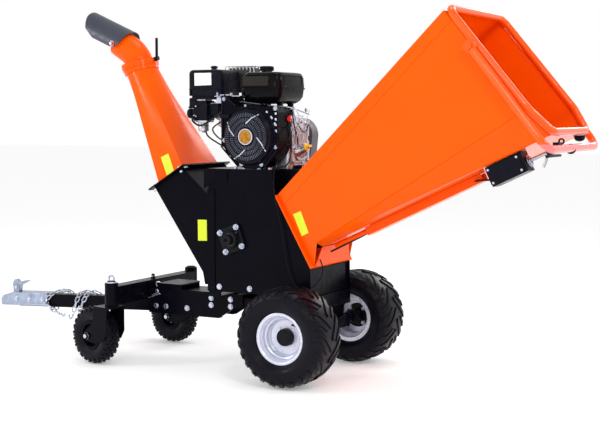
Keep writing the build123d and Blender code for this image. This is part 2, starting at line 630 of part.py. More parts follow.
GUARD_IN, GUARD_OUT = 208.0, 264.0
with BuildPart() as belt_guard:
    with BuildSketch(side_plane(GUARD_OUT)):
        drive_outline(120, 76)
    extrude(amount=GUARD_OUT - GUARD_IN)
    with BuildSketch(side_plane(GUARD_OUT - 2)):
        drive_outline(118, 74)
    extrude(amount=GUARD_OUT - GUARD_IN - 4, mode=Mode.SUBTRACT)
    with BuildSketch(side_plane(GUARD_IN + 10)):
        with Locations((DRUM_X, DRUM_Z), (CRANK_X, CRANK_Z)):
            Circle(26)
    extrude(amount=20, mode=Mode.SUBTRACT)
save("belt_guard", belt_guard)

with BuildPart() as bearing_housings:
    # Square four-bolt flange bearings on the outer faces of the housing plates.
    for side in (-1, 1):
        face = Plane(origin=(DRUM_X, side * BODY_HALF, DRUM_Z), x_dir=(1, 0, 0), z_dir=(0, side, 0))
        tilt = BEARING_TILT * (1 if face.y_dir.Z > 0 else -1)
        with BuildSketch(face):
            with Locations(Rotation(0, 0, tilt)):
                RectangleRounded(BEARING_SIDE, BEARING_SIDE, 20)
                with GridLocations(BEARING_PITCH, BEARING_PITCH, 2, 2):
                    Circle(6.2, mode=Mode.SUBTRACT)
        extrude(amount=13)
        with BuildSketch(face.offset(13)):
            Circle(38)
        extrude(amount=13, taper=8)
        with BuildSketch(face):
            Circle(SHAFT_R + RUN_FIT)
        extrude(amount=30, mode=Mode.SUBTRACT)
save("bearing_housings", bearing_housings)

# ================= engine =================
with BuildPart() as engine_deck:
    with BuildSketch(Plane.XY.offset(850)):
        Polygon((-125, -184), (190, -184), (190, -100), (284, -100), (284, 112), (190, 112),
                (190, 184), (-125, 184))
        with Locations((240, 0)):
            Rectangle(60, 150, mode=Mode.SUBTRACT)
    extrude(amount=DECK_TOP - 850)
    # Folded skirt of the part that overhangs the housing.
    for y in (-96, 112):
        with BuildSketch(side_plane(y)):
            Polygon((190, 805), (238, 805), (284, 845), (284, 850), (190, 850))
        extrude(amount=4)
    with BuildSketch(Plane.YZ.offset(280)):
        with Locations((6, 845.5)):
            Rectangle(204, 9)
    extrude(amount=4)
    # Bracket plates at the front corners.
    for side in (-1, 1):
        y = -BODY_HALF if side < 0 else BODY_HALF + 4
        with BuildSketch(side_plane(y)):
            Polygon((-142, 850), (-142, 772), (-89.5, 803.5), (-27, 803.5), (-27, 850))
        extrude(amount=4)
save("engine_deck", engine_deck)

CYL_TILT = 155.0            # cylinder leans towards the discharge side, 25 degrees above level
cyl_dir = turned(CYL_TILT)
crank_centre = Vector(CRANK_X, 0, CRANK_Z)
with BuildPart() as engine_block:
    # Crankcase casting with its side cover, feet, oil filler boss and finned cylinder.
    with BuildSketch(Plane.XY.offset(DECK_TOP + 14)):
        with Locations((100, 1.5)):
            RectangleRounded(222, 157, 18)
    extrude(amount=206)
    fillet(engine_block.faces().sort_by(Axis.Z)[-1].edges(), 14)
    with BuildSketch(Plane.XY.offset(DECK_TOP)):
        with Locations((30, -45), (170, -45), (30, 85), (170, 85)):
            RectangleRounded(56, 40, 8)
    extrude(amount=18)
    with BuildSketch(side_plane(88)):
        with Locations((CRANK_X, CRANK_Z)):
            Circle(96)
    extrude(amount=12)
    with Locations(Plane(origin=(200, -20, 925), z_dir=turned(20))):
        Cylinder(19, 60, align=ON_END)
    cylinder = Plane(origin=crank_centre, x_dir=(0, 1, 0), z_dir=cyl_dir)
    with BuildSketch(cylinder.offset(96)):
        with Locations((8, 0)):
            Circle(54)
    extrude(amount=106)
    for fin in range(7):
        with BuildSketch(cylinder.offset(118 + 11 * fin)):
            with Locations((8, 0)):
                RectangleRounded(150, 132, 22)
        extrude(amount=3.5)
    with BuildSketch(cylinder.offset(198)):
        with Locations((8, 0)):
            RectangleRounded(142, 128, 14)
    extrude(amount=36)
    with BuildSketch(cylinder.offset(234)):
        with Locations((8, 0)):
            RectangleRounded(118, 92, 16)
    extrude(amount=30)
    # Crank bores and chamber.
    with BuildSketch(side_plane(130)):
        with Locations((CRANK_X, CRANK_Z)):
            Circle(CRANK_R + RUN_FIT)
    extrude(amount=260, mode=Mode.SUBTRACT)
    with BuildSketch(side_plane(62)):
        with Locations((CRANK_X, CRANK_Z)):
            Circle(60)
    extrude(amount=112, mode=Mode.SUBTRACT)
save("engine_block", engine_block)

SHROUD_IN, SHROUD_OUT = -80.0, -188.0
shroud_outline = ((-52, 1160), (-52, 958), (36, 868), (146, 868), (212, 940), (218, 1040), (218, 1090),
                  (196, 1114), (2, 1114), (-12, 1160))
with BuildPart() as fan_housing:
    for shift, y0, y1, mode in ((0, SHROUD_IN, SHROUD_OUT, Mode.ADD),
                                (-3, SHROUD_IN + 5, SHROUD_OUT + 3, Mode.SUBTRACT)):
        with BuildSketch(side_plane(y0)):
            Polygon(*shroud_outline)
            with Locations((CRANK_X, CRANK_Z)):
                Circle(133)
            if shift:
                offset(amount=shift, kind=Kind.INTERSECTION, mode=Mode.REPLACE)
        extrude(amount=y0 - y1, mode=mode)
    with BuildSketch(side_plane(SHROUD_OUT + 10)):
        with Locations((CRANK_X, CRANK_Z)):
            Circle(98)
    extrude(amount=20, mode=Mode.SUBTRACT)
save("fan_housing", fan_housing)

with BuildPart() as recoil_cover:
    plane = Plane(origin=(CRANK_X, SHROUD_OUT, CRANK_Z), x_dir=(1, 0, 0), z_dir=(0, 0, 1))
    with BuildSketch(plane):
        Polygon((0, -40), (34, -40), (36, -38), (96, -36), (110, -26), (116, -4), (116, 0), (110, 0),
                (105, -24), (94, -33), (0, -36))
    revolve(axis=Axis((CRANK_X, 0, CRANK_Z), (0, 1, 0)))
save("recoil_cover", recoil_cover)

TANK_PLACE = (98, -10)
TANK_BOTTOM, TANK_TOP = 1124.5, 1257.0
with BuildPart() as fuel_tank:
    with BuildSketch(Plane.XY.offset(TANK_BOTTOM)):
        with Locations(TANK_PLACE):
            RectangleRounded(186, 240, 26)
    extrude(amount=TANK_TOP - TANK_BOTTOM)
    fillet(fuel_tank.faces().sort_by(Axis.Z)[-1].edges(), 16)
    fillet(fuel_tank.faces().sort_by(Axis.Z)[0].edges(), 14)
    with BuildSketch(Plane.XY.offset(1188)):
        with Locations(TANK_PLACE):
            RectangleRounded(194, 248, 30)
    extrude(amount=4)
    with BuildSketch(Plane.XY.offset(1240)):
        with Locations((70, -20)):
            Circle(22)
    extrude(amount=23)
    # Feet down to the crankcase.
    with BuildSketch(Plane.XY.offset(1077)):
        with Locations((40, 40), (150, 40), (150, -50), (40, -50)):
            RectangleRounded(24, 16, 3)
    extrude(amount=54)
save("fuel_tank", fuel_tank)

with BuildPart() as fuel_cap:
    with BuildSketch(Plane.XY.offset(1263 + GAP)):
        with Locations((70, -20)):
            Circle(28)
    extrude(amount=20)
    fillet(fuel_cap.faces().sort_by(Axis.Z)[-1].edges(), 4)
save("fuel_cap", fuel_cap)

oil_axis = turned(20)
oil_seat = Vector(200, -20, 925) + oil_axis * (60 + GAP)
with BuildPart() as oil_cap:
    seat = Plane(origin=oil_seat, x_dir=(0, 1, 0), z_dir=oil_axis)
    with BuildSketch(seat):
        Circle(17)
    extrude(amount=8)
    with BuildSketch(seat.offset(8)):
        RectangleRounded(30, 9, 3)
    extrude(amount=13)
save("oil_cap", oil_cap)

with BuildPart() as air_cleaner:
    with BuildSketch(Plane.XY.offset(1160)):
        with Locations((-172, -50)):
            RectangleRounded(168, 160, 20)
    extrude(amount=110)
    fillet(air_cleaner.faces().sort_by(Axis.Z)[-1].edges(), 18)
    with BuildSketch(Plane.XY.offset(1146)):
        with Locations((-172, -50)):
            RectangleRounded(150, 142, 16)
    extrude(amount=14)
    with BuildSketch(Plane.XY.offset(1266)):
        with Locations((-172, -50)):
            Circle(9)
    extrude(amount=22)
save("air_cleaner", air_cleaner)

CONTROL_FACE = -107.0
with BuildPart() as carburettor:
    with BuildSketch(Plane.XY.offset(1050)):
        with Locations((-212, -78)):
            RectangleRounded(62, 56, 6)
    extrude(amount=96)
    with BuildSketch(Plane.XY.offset(1012)):
        with Locations((-208, -80)):
            Circle(23)
    extrude(amount=38)
    # Intake stub to the cylinder head.
    with BuildSketch(Plane.YZ.offset(-184)):
        with Locations((-66, 1110)):
            Circle(13)
    extrude(amount=24)
    # Pins that the two control levers turn on.
    with BuildSketch(side_plane(CONTROL_FACE + 7)):
        with Locations((-226, 1116), (-226, 1074)):
            Circle(3)
    extrude(amount=14)
save("carburettor", carburettor)

with BuildPart() as muffler:
    with BuildSketch(Plane.XY.offset(1176)):
        with Locations((-108, 92)):
            RectangleRounded(126, 96, 24)
    extrude(amount=106)
    fillet(muffler.faces().sort_by(Axis.Z)[-1].edges(), 14)
    with BuildSketch(Plane.XY.offset(1150)):
        with Locations((-92, 70)):
            Circle(15)
    extrude(amount=26)
save("muffler", muffler)

with BuildPart() as throttle_lever:
    with BuildSketch(Plane.XY.offset(1160 + GAP)):
        with Locations((-26, -150)):
            Circle(10)
        with Locations((-50, -156)):
            RectangleRounded(52, 10, 4)
    extrude(amount=4)
save("throttle_lever", throttle_lever)

with BuildPart() as choke_lever:
    with BuildSketch(side_plane(CONTROL_FACE)):
        with Locations((-226, 1116)):
            Circle(8)
        with Locations((-244, 1112)):
            RectangleRounded(40, 9, 4)
        with Locations((-226, 1116)):
            Circle(3 + RUN_FIT, mode=Mode.SUBTRACT)
    extrude(amount=5)
save("choke_lever", choke_lever)

with BuildPart() as fuel_valve_lever:
    with BuildSketch(side_plane(CONTROL_FACE)):
        with Locations((-226, 1074)):
            Circle(8)
        with Locations((-244, 1070)):
            RectangleRounded(40, 9, 4)
        with Locations((-226, 1074)):
            Circle(3 + RUN_FIT, mode=Mode.SUBTRACT)
    extrude(amount=5)
save("fuel_valve_lever", fuel_valve_lever)

with BuildPart() as starter_grip:
    with BuildSketch(side_plane(SHROUD_OUT - GAP)):
        with Locations((-27, 1074)):
            RectangleRounded(46, 14, 6)
    extrude(amount=16)
save("starter_grip", starter_grip)

with BuildPart() as engine_switch:
    # Round base on the shroud's end, and the paddle that turns it.
    switch_base = Plane.YZ.offset(218 + GAP)
    with BuildSketch(switch_base):
        with Locations((-104, 1064)):
            Circle(9)
    extrude(amount=5)
    with BuildSketch(switch_base.offset(5)):
        with Locations((-104, 1064)):
            RectangleRounded(9, 26, 3)
    extrude(amount=7)
save("engine_switch", engine_switch)

# ================= hopper =================
base_dir = Vector(366 - 200, 461 - 752).normalized()    # down the slope of the hopper's base flange
base_normal = Vector(-base_dir.Y, base_dir.X)
BASE_TOP = Vector(200, 752)
BASE_LENGTH = 335.0
BASE_THICK = 6.0
mouth_dir = Vector(math.sin(math.radians(HOPPER_TILT)), -math.cos(math.radians(HOPPER_TILT)))
mouth_normal = Vector(math.cos(math.radians(HOPPER_TILT)), math.sin(math.radians(HOPPER_TILT)))
RIM_TOP = Vector(991, 1469)                             # centre of the rim tube at its top
CREASE_ALONG = 477.0


def at_rim(along, back=0.0):
    point = RIM_TOP + mouth_dir * along - mouth_normal * back
    return point.X, point.Y


def xyz(point, y):
    return (point[0], y, point[1])


EDGE_BACK = RIM_TUBE_R + 0.6
top_in = BASE_TOP + base_normal * (BASE_THICK + 0.9) + base_dir * 4
low_in = BASE_TOP + base_normal * (BASE_THICK + 0.9) + base_dir * (BASE_LENGTH - 4)
top_base = (top_in.X, top_in.Y)
low_base = (low_in.X, low_in.Y)
crease_base, sill_base = (386, 567), (384, 550)
top_mouth, crease_mouth = at_rim(0, EDGE_BACK), at_rim(CREASE_ALONG, EDGE_BACK)
sill_mouth = at_rim(MOUTH_LENGTH, EDGE_BACK)
BASE_HALF_W, SILL_BASE_HALF = 165.0, 118.0


def behind_mouth(point):
    return (Vector(*top_mouth) - Vector(*point)).dot(mouth_normal)


SIDE_FLARE = (MOUTH_HALF_W - BASE_HALF_W) / behind_mouth(top_base)


def side_half(point):
    """Half the hopper's inner width at a point of its side panels, given in the XZ plane."""
    return MOUTH_HALF_W - SIDE_FLARE * behind_mouth(point)


CREASE_HALF_W = side_half(crease_base)

with BuildPart() as hopper_base:
    # Bolted base flange round the feed opening, and the louvred plate below the feed floor.
    flange = Plane(origin=(BASE_TOP.X, 0, BASE_TOP.Y), x_dir=(base_dir.X, 0, base_dir.Y),
                   z_dir=(base_normal.X, 0, base_normal.Y))
    with BuildSketch(flange):
        with Locations((BASE_LENGTH / 2, 0)):
            Rectangle(BASE_LENGTH, 2 * (BODY_HALF + 6))
        with Locations((BASE_LENGTH / 2 - 28, 0)):
            Rectangle(BASE_LENGTH - 100, 300, mode=Mode.SUBTRACT)
    extrude(amount=BASE_THICK)
    louvre = ((low_base[0] + 0.5, -155, low_base[1] + 0.5), (low_base[0] + 0.5, 155, low_base[1] + 0.5),
              (sill_base[0], SILL_BASE_HALF, sill_base[1] - 4),
              (sill_base[0], -SILL_BASE_HALF, sill_base[1] - 4))
    sheet_panel(louvre, SHEET)
save("hopper_base", hopper_base)

for name, side in (("near", -1), ("far", 1)):
    outline = (top_base, top_mouth, crease_mouth, crease_base, low_base)
    with BuildPart() as hopper_side:
        sheet_panel([xyz(point, side * side_half(point)) for point in outline], side * SHEET)
    save(f"hopper_{name}_side", hopper_side)

LAP_T, LAP_GAP, LAP_DEPTH, SEAM = 2.0, 0.4, 44.0, 0.3
top_run = (Vector(*top_mouth) - Vector(*top_base)).normalized()
top_up = Vector(-top_run.Y, top_run.X)
with BuildPart() as hopper_top:
    # The top sheet runs past the side panels and folds down over them.
    reach = SHEET + LAP_GAP + 0.3
    lifted = [Vector(*top_base) + top_run * 3 + top_up * SEAM, Vector(*top_mouth) + top_up * SEAM]
    start, end = [(point.X, point.Y) for point in lifted]
    sheet_panel([xyz(start, -BASE_HALF_W - reach), xyz(end, -MOUTH_HALF_W - reach),
                 xyz(end, MOUTH_HALF_W + reach), xyz(start, BASE_HALF_W + reach)], SHEET)
    for side in (-1, 1):
        low_edge = Vector(*top_base) - top_up * LAP_DEPTH + top_run * 4
        top_edge = Vector(*top_base) + top_up * SHEET + top_run * 4
        outline = ((top_edge.X, top_edge.Y), at_rim(-4, EDGE_BACK + 2), at_rim(LAP_DEPTH, EDGE_BACK + 2),
                   (low_edge.X, low_edge.Y))
        lap = [xyz(point, side * side_half(point)) for point in outline]
        first, second, third = (Vector(*c) for c in lap[:3])
        out = (second - first).cross(third - first).normalized() * side
        sheet_panel([tuple(Vector(*c) + out * (SHEET + LAP_GAP)) for c in lap], side * LAP_T)
save("hopper_top", hopper_top)

with BuildPart() as hopper_floor:
    # Pan with a flat floor and two chamfers, which taper to nothing wide at the base.
    floor = [xyz(sill_base, -SILL_BASE_HALF), xyz(sill_base, SILL_BASE_HALF),
             xyz(sill_mouth, MOUTH_SILL_HALF), xyz(sill_mouth, -MOUTH_SILL_HALF)]
    sheet_panel(floor, SHEET)
    for side in (-1, 1):
        crease_b, crease_m = xyz(crease_base, side * CREASE_HALF_W), xyz(crease_mouth, side * MOUTH_HALF_W)
        sill_b, sill_m = xyz(sill_base, side * SILL_BASE_HALF), xyz(sill_mouth, side * MOUTH_SILL_HALF)
        sheet_panel([crease_b, crease_m, sill_m], side * SHEET)
        sheet_panel([crease_b, sill_m, sill_b], side * SHEET)
save("hopper_floor", hopper_floor)

with BuildPart() as hopper_rim_tube:
    # Round tube welded round the mouth, made as two mirrored halves, with the bar's pivot bolts.
    half = [xyz(at_rim(0), 0), xyz(at_rim(0), MOUTH_HALF_W), xyz(at_rim(CREASE_ALONG), MOUTH_HALF_W),
            xyz(at_rim(MOUTH_LENGTH), MOUTH_SILL_HALF), xyz(at_rim(MOUTH_LENGTH), 0)]
    tube_along(half, [45, 60, 60], RIM_TUBE_R, RIM_TUBE_R - 2.5, (0, 1, 0))
    bar_pivot = Plane(origin=(BAR_PIVOT_X, MOUTH_HALF_W + 4, BAR_PIVOT_Z), z_dir=(0, 1, 0))
    with Locations(bar_pivot):
        Cylinder(12, BAR_Y - 8 - GAP - MOUTH_HALF_W - 4, align=ON_END)
        Cylinder(BAR_PIN_R, BAR_Y + 14 - MOUTH_HALF_W - 4, align=ON_END)
    with BuildSketch(bar_pivot.offset(BAR_Y + 8 + GAP - MOUTH_HALF_W - 4)):
        RegularPolygon(13, 6)
    extrude(amount=8)
    mirror(about=Plane.XZ)
save("hopper_rim_tube", hopper_rim_tube)

# The hopper floor's own directions: along it towards the mouth, and square down from it.
floor_run = (Vector(*sill_mouth) - Vector(*sill_base)).normalized()
floor_down = Vector(floor_run.Y, -floor_run.X)
under_floor = Plane(origin=(sill_base[0] + floor_down.X * 4, 0, sill_base[1] + floor_down.Y * 4),
                    x_dir=(floor_run.X, 0, floor_run.Y), z_dir=(floor_down.X, 0, floor_down.Y))
COVER_Y, COVER_LOW, COVER_HIGH = -62.0, 196.0, 732.0
hand = 1 if under_floor.y_dir.Y > 0 else -1
with BuildPart() as cable_cover:
    # Folded channel that hides the switch cable under the hopper.
    with BuildSketch(under_floor):
        with Locations(((COVER_LOW + COVER_HIGH) / 2, hand * COVER_Y)):
            Rectangle(COVER_HIGH - COVER_LOW, 58)
    extrude(amount=34)
    with BuildSketch(under_floor):
        with Locations(((COVER_LOW + COVER_HIGH) / 2, hand * COVER_Y)):
            Rectangle(COVER_HIGH - COVER_LOW, 54)
    extrude(amount=32, mode=Mode.SUBTRACT)
    # Conduit from the base to the cover.
    with Locations(under_floor.offset(14) * Location((30, hand * COVER_Y, 0))):
        Cylinder(11, COVER_LOW - 32, rotation=(0, 90, 0), align=ON_END)
save("cable_cover", cable_cover)

BOX_LOW, BOX_HIGH, BOX_Y = 792.0, 942.0, -150.0
ROD_DEPTH = 44.0
with BuildPart() as switch_box:
    with BuildSketch(under_floor.offset(1)):
        with Locations(((BOX_LOW + BOX_HIGH) / 2, hand * BOX_Y)):
            RectangleRounded(BOX_HIGH - BOX_LOW, 84, 6)
    extrude(amount=78)
    with Locations(under_floor.offset(ROD_DEPTH) * Location((BOX_LOW - 1, hand * BOX_Y, 0))):
        Cylinder(7 + RUN_FIT, BOX_HIGH - BOX_LOW + 3, rotation=(0, 90, 0),
                 align=ON_END, mode=Mode.SUBTRACT)
    # Threaded guide at the end that faces the bar.
    with Locations(under_floor.offset(ROD_DEPTH) * Location((BOX_HIGH, hand * BOX_Y, 0))):
        Cylinder(14, 14, rotation=(0, 90, 0), align=ON_END)
        Cylinder(7 + RUN_FIT, 16, rotation=(0, 90, 0), align=ON_END,
                 mode=Mode.SUBTRACT)
save("switch_box", switch_box)

BAR_LOW_X, BAR_LOW_Z = 1383.0, 957.0
ROD_START, ROD_END_ALONG = 862.0, 1037.0
rod_end = under_floor.offset(ROD_DEPTH) * Location((ROD_END_ALONG, hand * BOX_Y, 0))
with BuildPart() as safety_rod:
    with Locations(under_floor.offset(ROD_DEPTH) * Location((ROD_START, hand * BOX_Y, 0))):
        Cylinder(7, ROD_END_ALONG - ROD_START, rotation=(0, 90, 0),
                 align=ON_END)
    # Rubber-covered eye at the bar's end.
    with Locations(under_floor.offset(ROD_DEPTH) * Location((ROD_END_ALONG - 15, hand * BOX_Y, 0))):
        Cylinder(13, 30, rotation=(0, 90, 0), align=ON_END)
save("safety_rod", safety_rod)
print("rod eye", rod_end.position, "axis", (floor_run.X, floor_run.Y))

with BuildPart() as safety_bar:
    pivot = Vector(BAR_PIVOT_X, BAR_Y, BAR_PIVOT_Z)
    corner = Vector(BAR_LOW_X, BAR_Y, BAR_LOW_Z)
    arm_end = pivot + (corner - pivot).normalized() * 15
    half = [(BAR_LOW_X, 0, BAR_LOW_Z), corner, arm_end]
    tube_along(half, [60], RIM_TUBE_R, RIM_TUBE_R - 2.5, (0, 1, 0))
    mirror(about=Plane.XZ)
    # Flattened pivot eyes.
    for side in (-1, 1):
        with Locations(Plane(origin=(BAR_PIVOT_X, side * (BAR_Y - 8), BAR_PIVOT_Z), z_dir=(0, side, 0))):
            Cylinder(24, 16, align=ON_END)
            Cylinder(BAR_PIN_R + RUN_FIT, 16, align=ON_END, mode=Mode.SUBTRACT)
    # Tab beside the rod's eye.
    with BuildSketch(side_plane(BOX_Y + 22)):
        eye = rod_end.position
        Polygon((eye.X - 12, eye.Z - 10), (BAR_LOW_X - 12, BAR_LOW_Z - 9), (BAR_LOW_X - 12, BAR_LOW_Z + 9),
                (eye.X - 12, eye.Z + 12))
    extrude(amount=6)
save("safety_bar", safety_bar)

# ================= fasteners and the stop lead =================
def heads(plane, places, radius, height):
    """Adds hexagon heads that stand on a face."""
    with BuildSketch(plane) as hexagons:
        with Locations(*places):
            RegularPolygon(radius, 6)
    extrude(hexagons.sketch, amount=height)


with BuildPart() as frame_bolts:
    heads(side_plane(-RAIL_HALF), RAIL_BOLTS, 9.5, 8)
    heads(side_plane(-BODY_HALF), PLATE_BOLTS, 9.5, 8)
    tilt = math.radians(BEARING_TILT)
    half = BEARING_PITCH / 2
    corners = []
    for a, b in ((half, half), (half, -half), (-half, half), (-half, -half)):
        corners.append((DRUM_X + a * math.cos(tilt) - b * math.sin(tilt),
                        DRUM_Z + a * math.sin(tilt) + b * math.cos(tilt)))
    heads(side_plane(-BODY_HALF - 13), corners, 10.5, 10)
    heads(Plane.XY.offset(348), [(CASTER_X, 0)], 9, 12)
    heads(Plane.XY.offset(DECK_TOP), [(170, -168), (6, -168)], 9, 8)
save("frame_bolts", frame_bolts)

# Stop-switch lead: from the shroud down the edge of the housing, under its corner and up to the
# louvred plate below the hopper. It is a thin wire held at both ends.
LEAD_R = 2.5
LEAD_POINTS = (
    (220, -128, 1030), (246, -134, 1014), (244, -152, 968), (224, -177, 918), (205, -193, 865),
    (200, -194, 802), (207, -193, 738), (224, -194, 676), (240, -193, 612), (250, -194, 548),
    (262, -193, 486), (276, -194, 430), (300, -193, 388), (338, -194, 374), (374, -182, 384),
    (395, -156, 414), (401, -136, 456), (381, -128, 495),
)


def route_radii(points):
    """The largest arc for each corner that leaves a tenth of the shorter run straight."""
    runs = [Vector(*b) - Vector(*a) for a, b in zip(points, points[1:])]
    radii = []
    for one, two in zip(runs, runs[1:]):
        half_turn = math.radians(one.get_angle(two)) / 2
        radii.append(0.45 * min(one.length, two.length) / math.tan(half_turn))
    return radii


lead_radii = route_radii(LEAD_POINTS)
print("stop lead radii", [round(r) for r in lead_radii])
with BuildPart() as stop_lead:
    with BuildLine() as lead_route:
        FilletPolyline(*LEAD_POINTS, radius=lead_radii)
    with BuildSketch(Plane(origin=LEAD_POINTS[0], z_dir=Vector(*LEAD_POINTS[1]) - Vector(*LEAD_POINTS[0]))):
        Circle(LEAD_R)
    sweep(path=lead_route.wires()[0])
save("stop_lead", stop_lead)
lead_length = lead_route.wires()[0].length
print("stop lead length", round(lead_length), "volume", round(stop_lead.part.volume),
      "expected", round(lead_length * math.pi * LEAD_R ** 2))
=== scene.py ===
import json
from math import cos, pi, radians, sin
import bmesh
import bpy
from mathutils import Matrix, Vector
from mathutils.bvhtree import BVHTree


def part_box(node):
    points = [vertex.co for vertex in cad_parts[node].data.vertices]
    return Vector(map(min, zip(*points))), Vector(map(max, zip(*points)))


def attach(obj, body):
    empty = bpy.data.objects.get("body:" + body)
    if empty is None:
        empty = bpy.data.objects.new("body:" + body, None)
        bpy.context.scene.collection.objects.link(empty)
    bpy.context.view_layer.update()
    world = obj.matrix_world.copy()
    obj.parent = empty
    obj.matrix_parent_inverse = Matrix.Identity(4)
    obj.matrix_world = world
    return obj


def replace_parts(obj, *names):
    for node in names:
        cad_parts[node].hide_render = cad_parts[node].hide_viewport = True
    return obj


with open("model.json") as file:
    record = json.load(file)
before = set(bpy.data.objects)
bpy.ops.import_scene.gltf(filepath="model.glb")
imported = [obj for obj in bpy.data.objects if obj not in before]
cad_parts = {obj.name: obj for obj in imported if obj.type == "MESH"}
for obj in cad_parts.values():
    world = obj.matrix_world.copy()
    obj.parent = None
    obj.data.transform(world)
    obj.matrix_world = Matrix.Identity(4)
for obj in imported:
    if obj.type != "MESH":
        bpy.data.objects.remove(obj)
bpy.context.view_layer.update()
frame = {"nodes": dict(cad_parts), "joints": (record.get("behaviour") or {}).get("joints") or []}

# A towable wood chipper. Metres, +Z up, +X towards the feed hopper. The near side is -Y.
MM = 0.001
NEAR, FAR, RIGHT, UP = (0, -1, 0), (0, 1, 0), (1, 0, 0), (0, 0, 1)

# ---- camera, light and floor
CAMERA_PLACE = (2.7549, -4.650, 1.0815)
CAMERA_TURN = (radians(85.1), 0.0, radians(28.62))
CAMERA_LENS, CAMERA_SENSOR = 75.95, 36.0
FLOOR_REACH = 30.0
# Name, place, what it is aimed at, width and power.
LIGHTS = (
    ("key", (3.4, -3.4, 4.0), (0.2, 0, 0.7), 0.9, 56),
    ("side", (-3.4, -3.2, 2.6), (-0.2, 0, 0.7), 1.0, 46),
    ("top", (0.3, 0.6, 4.4), (0.2, 0, 0.6), 1.6, 30),
    ("window", (3.9, 1.6, 2.6), (0.9, 0, 1.0), 0.7, 26),
    ("window_high", (0.62, -3.72, 2.05), (1.15, 0.25, 1.25), 0.34, 9),
    ("window_low", (0.95, -3.78, 1.55), (1.20, 0.25, 1.12), 0.30, 7),
    ("back", (0.5, 4.6, 2.4), (0.2, 0, 0.8), 1.6, 34),
)


def placed(name, data):
    made = bpy.data.objects.new(name, data)
    bpy.context.scene.collection.objects.link(made)
    return made


def set_inputs(node, values):
    for field, value in values.items():
        node.inputs[field].default_value = value


def make_camera():
    data = bpy.data.cameras.new("camera")
    data.lens, data.sensor_width = CAMERA_LENS, CAMERA_SENSOR
    camera = placed("camera", data)
    camera.location, camera.rotation_euler = CAMERA_PLACE, CAMERA_TURN
    bpy.context.scene.camera = camera


def area_light(name, place, target, size, power):
    data = bpy.data.lights.new(name, "AREA")
    data.shape, data.size, data.energy = "DISK", size, power
    light = placed(name, data)
    light.location = place
    light.rotation_euler = (Vector(target) - Vector(place)).to_track_quat("-Z", "Y").to_euler()


def make_studio():
    bpy.context.scene.view_settings.view_transform = "Standard"
    world = bpy.data.worlds.new("studio")
    world.use_nodes = True
    nodes, links = world.node_tree.nodes, world.node_tree.links
    # Pale all round the horizon and dimmer overhead.
    place = nodes.new("ShaderNodeTexCoord")
    split = nodes.new("ShaderNodeSeparateXYZ")
    fade = nodes.new("ShaderNodeMapRange")
    links.new(place.outputs["Generated"], split.inputs["Vector"])
    links.new(split.outputs["Z"], fade.inputs["Value"])
    set_inputs(fade, {"From Min": 0.2, "From Max": 0.85, "To Min": 1.0, "To Max": 0.62})
    nodes["Background"].inputs[0].default_value = (1.0, 1.0, 1.0, 1.0)
    links.new(fade.outputs["Result"], nodes["Background"].inputs[1])
    bpy.context.scene.world = world
    for light in LIGHTS:
        area_light(*light)
    mesh = bpy.data.meshes.new("floor")
    corners = [(x * FLOOR_REACH, y * FLOOR_REACH, 0) for x, y in ((-1, -1), (1, -1), (1, 1), (-1, 1))]
    mesh.from_pydata(corners, [], [(0, 1, 2, 3)])
    floor = placed("floor", mesh)
    floor.data.materials.append(surface("floor_paper", (0.96, 0.96, 0.96), 0.8, bump=0.02, bump_scale=30,
        spec=0.1, vary=0.01, glow=0.24))


# ---- materials
BUMP_HEIGHT = 0.0006


def surface(name, colour, rough, metal=0.0, bump=0.1, bump_scale=400.0, vary=0.08, vary_scale=6.0, coat=0.0,
        rough_vary=0.08, spec=0.5, glow=0.0, second=None, second_below=None):
    """A painted, cast, plated or moulded surface: colour drift, uneven gloss and a fine bump.

    Where second is given, the surface takes that colour below the height second_below."""
    material = bpy.data.materials.new(name)
    material.use_nodes = True
    nodes, links = material.node_tree.nodes, material.node_tree.links
    shader = nodes["Principled BSDF"]
    set_inputs(shader, {"Metallic": metal, "Coat Weight": coat, "Coat Roughness": 0.10,
        "Specular IOR Level": spec, "Emission Color": (1, 1, 1, 1), "Emission Strength": glow})
    place = nodes.new("ShaderNodeTexCoord")

    def noise(scale, detail):
        node = nodes.new("ShaderNodeTexNoise")
        set_inputs(node, {"Scale": scale, "Detail": detail})
        links.new(place.outputs["Object"], node.inputs["Vector"])
        return node.outputs["Fac"]

    def ramp(source, low, high, low_value, high_value):
        node = nodes.new("ShaderNodeMapRange")
        set_inputs(node, {"From Min": low, "From Max": high, "To Min": low_value, "To Max": high_value})
        links.new(source, node.inputs["Value"])
        return node.outputs["Result"]

    drift = ramp(noise(vary_scale, 4.0), 0.3, 0.7, 0.0, 1.0)
    mix = nodes.new("ShaderNodeMix")
    mix.data_type = "RGBA"
    links.new(drift, mix.inputs["Factor"])
    set_inputs(mix, {"A": (*[c * (1 - vary) for c in colour], 1),
        "B": (*[min(1, c * (1 + vary)) for c in colour], 1)})
    result = mix.outputs["Result"]
    if second:
        split = nodes.new("ShaderNodeSeparateXYZ")
        links.new(place.outputs["Object"], split.inputs["Vector"])
        lower = ramp(split.outputs["Z"], second_below, second_below - 0.004, 0.0, 1.0)
        blend = nodes.new("ShaderNodeMix")
        blend.data_type = "RGBA"
        links.new(lower, blend.inputs["Factor"])
        links.new(result, blend.inputs["A"])
        blend.inputs["B"].default_value = (*second, 1)
        result = blend.outputs["Result"]
    links.new(result, shader.inputs["Base Color"])
    links.new(ramp(noise(vary_scale * 5, 3.0), 0.3, 0.7, max(0.02, rough - rough_vary), rough + rough_vary),
        shader.inputs["Roughness"])
    if bump:
        node = nodes.new("ShaderNodeBump")
        set_inputs(node, {"Strength": bump, "Distance": BUMP_HEIGHT})
        links.new(noise(bump_scale, 3.0), node.inputs["Height"])
        links.new(node.outputs["Normal"], shader.inputs["Normal"])
    return material


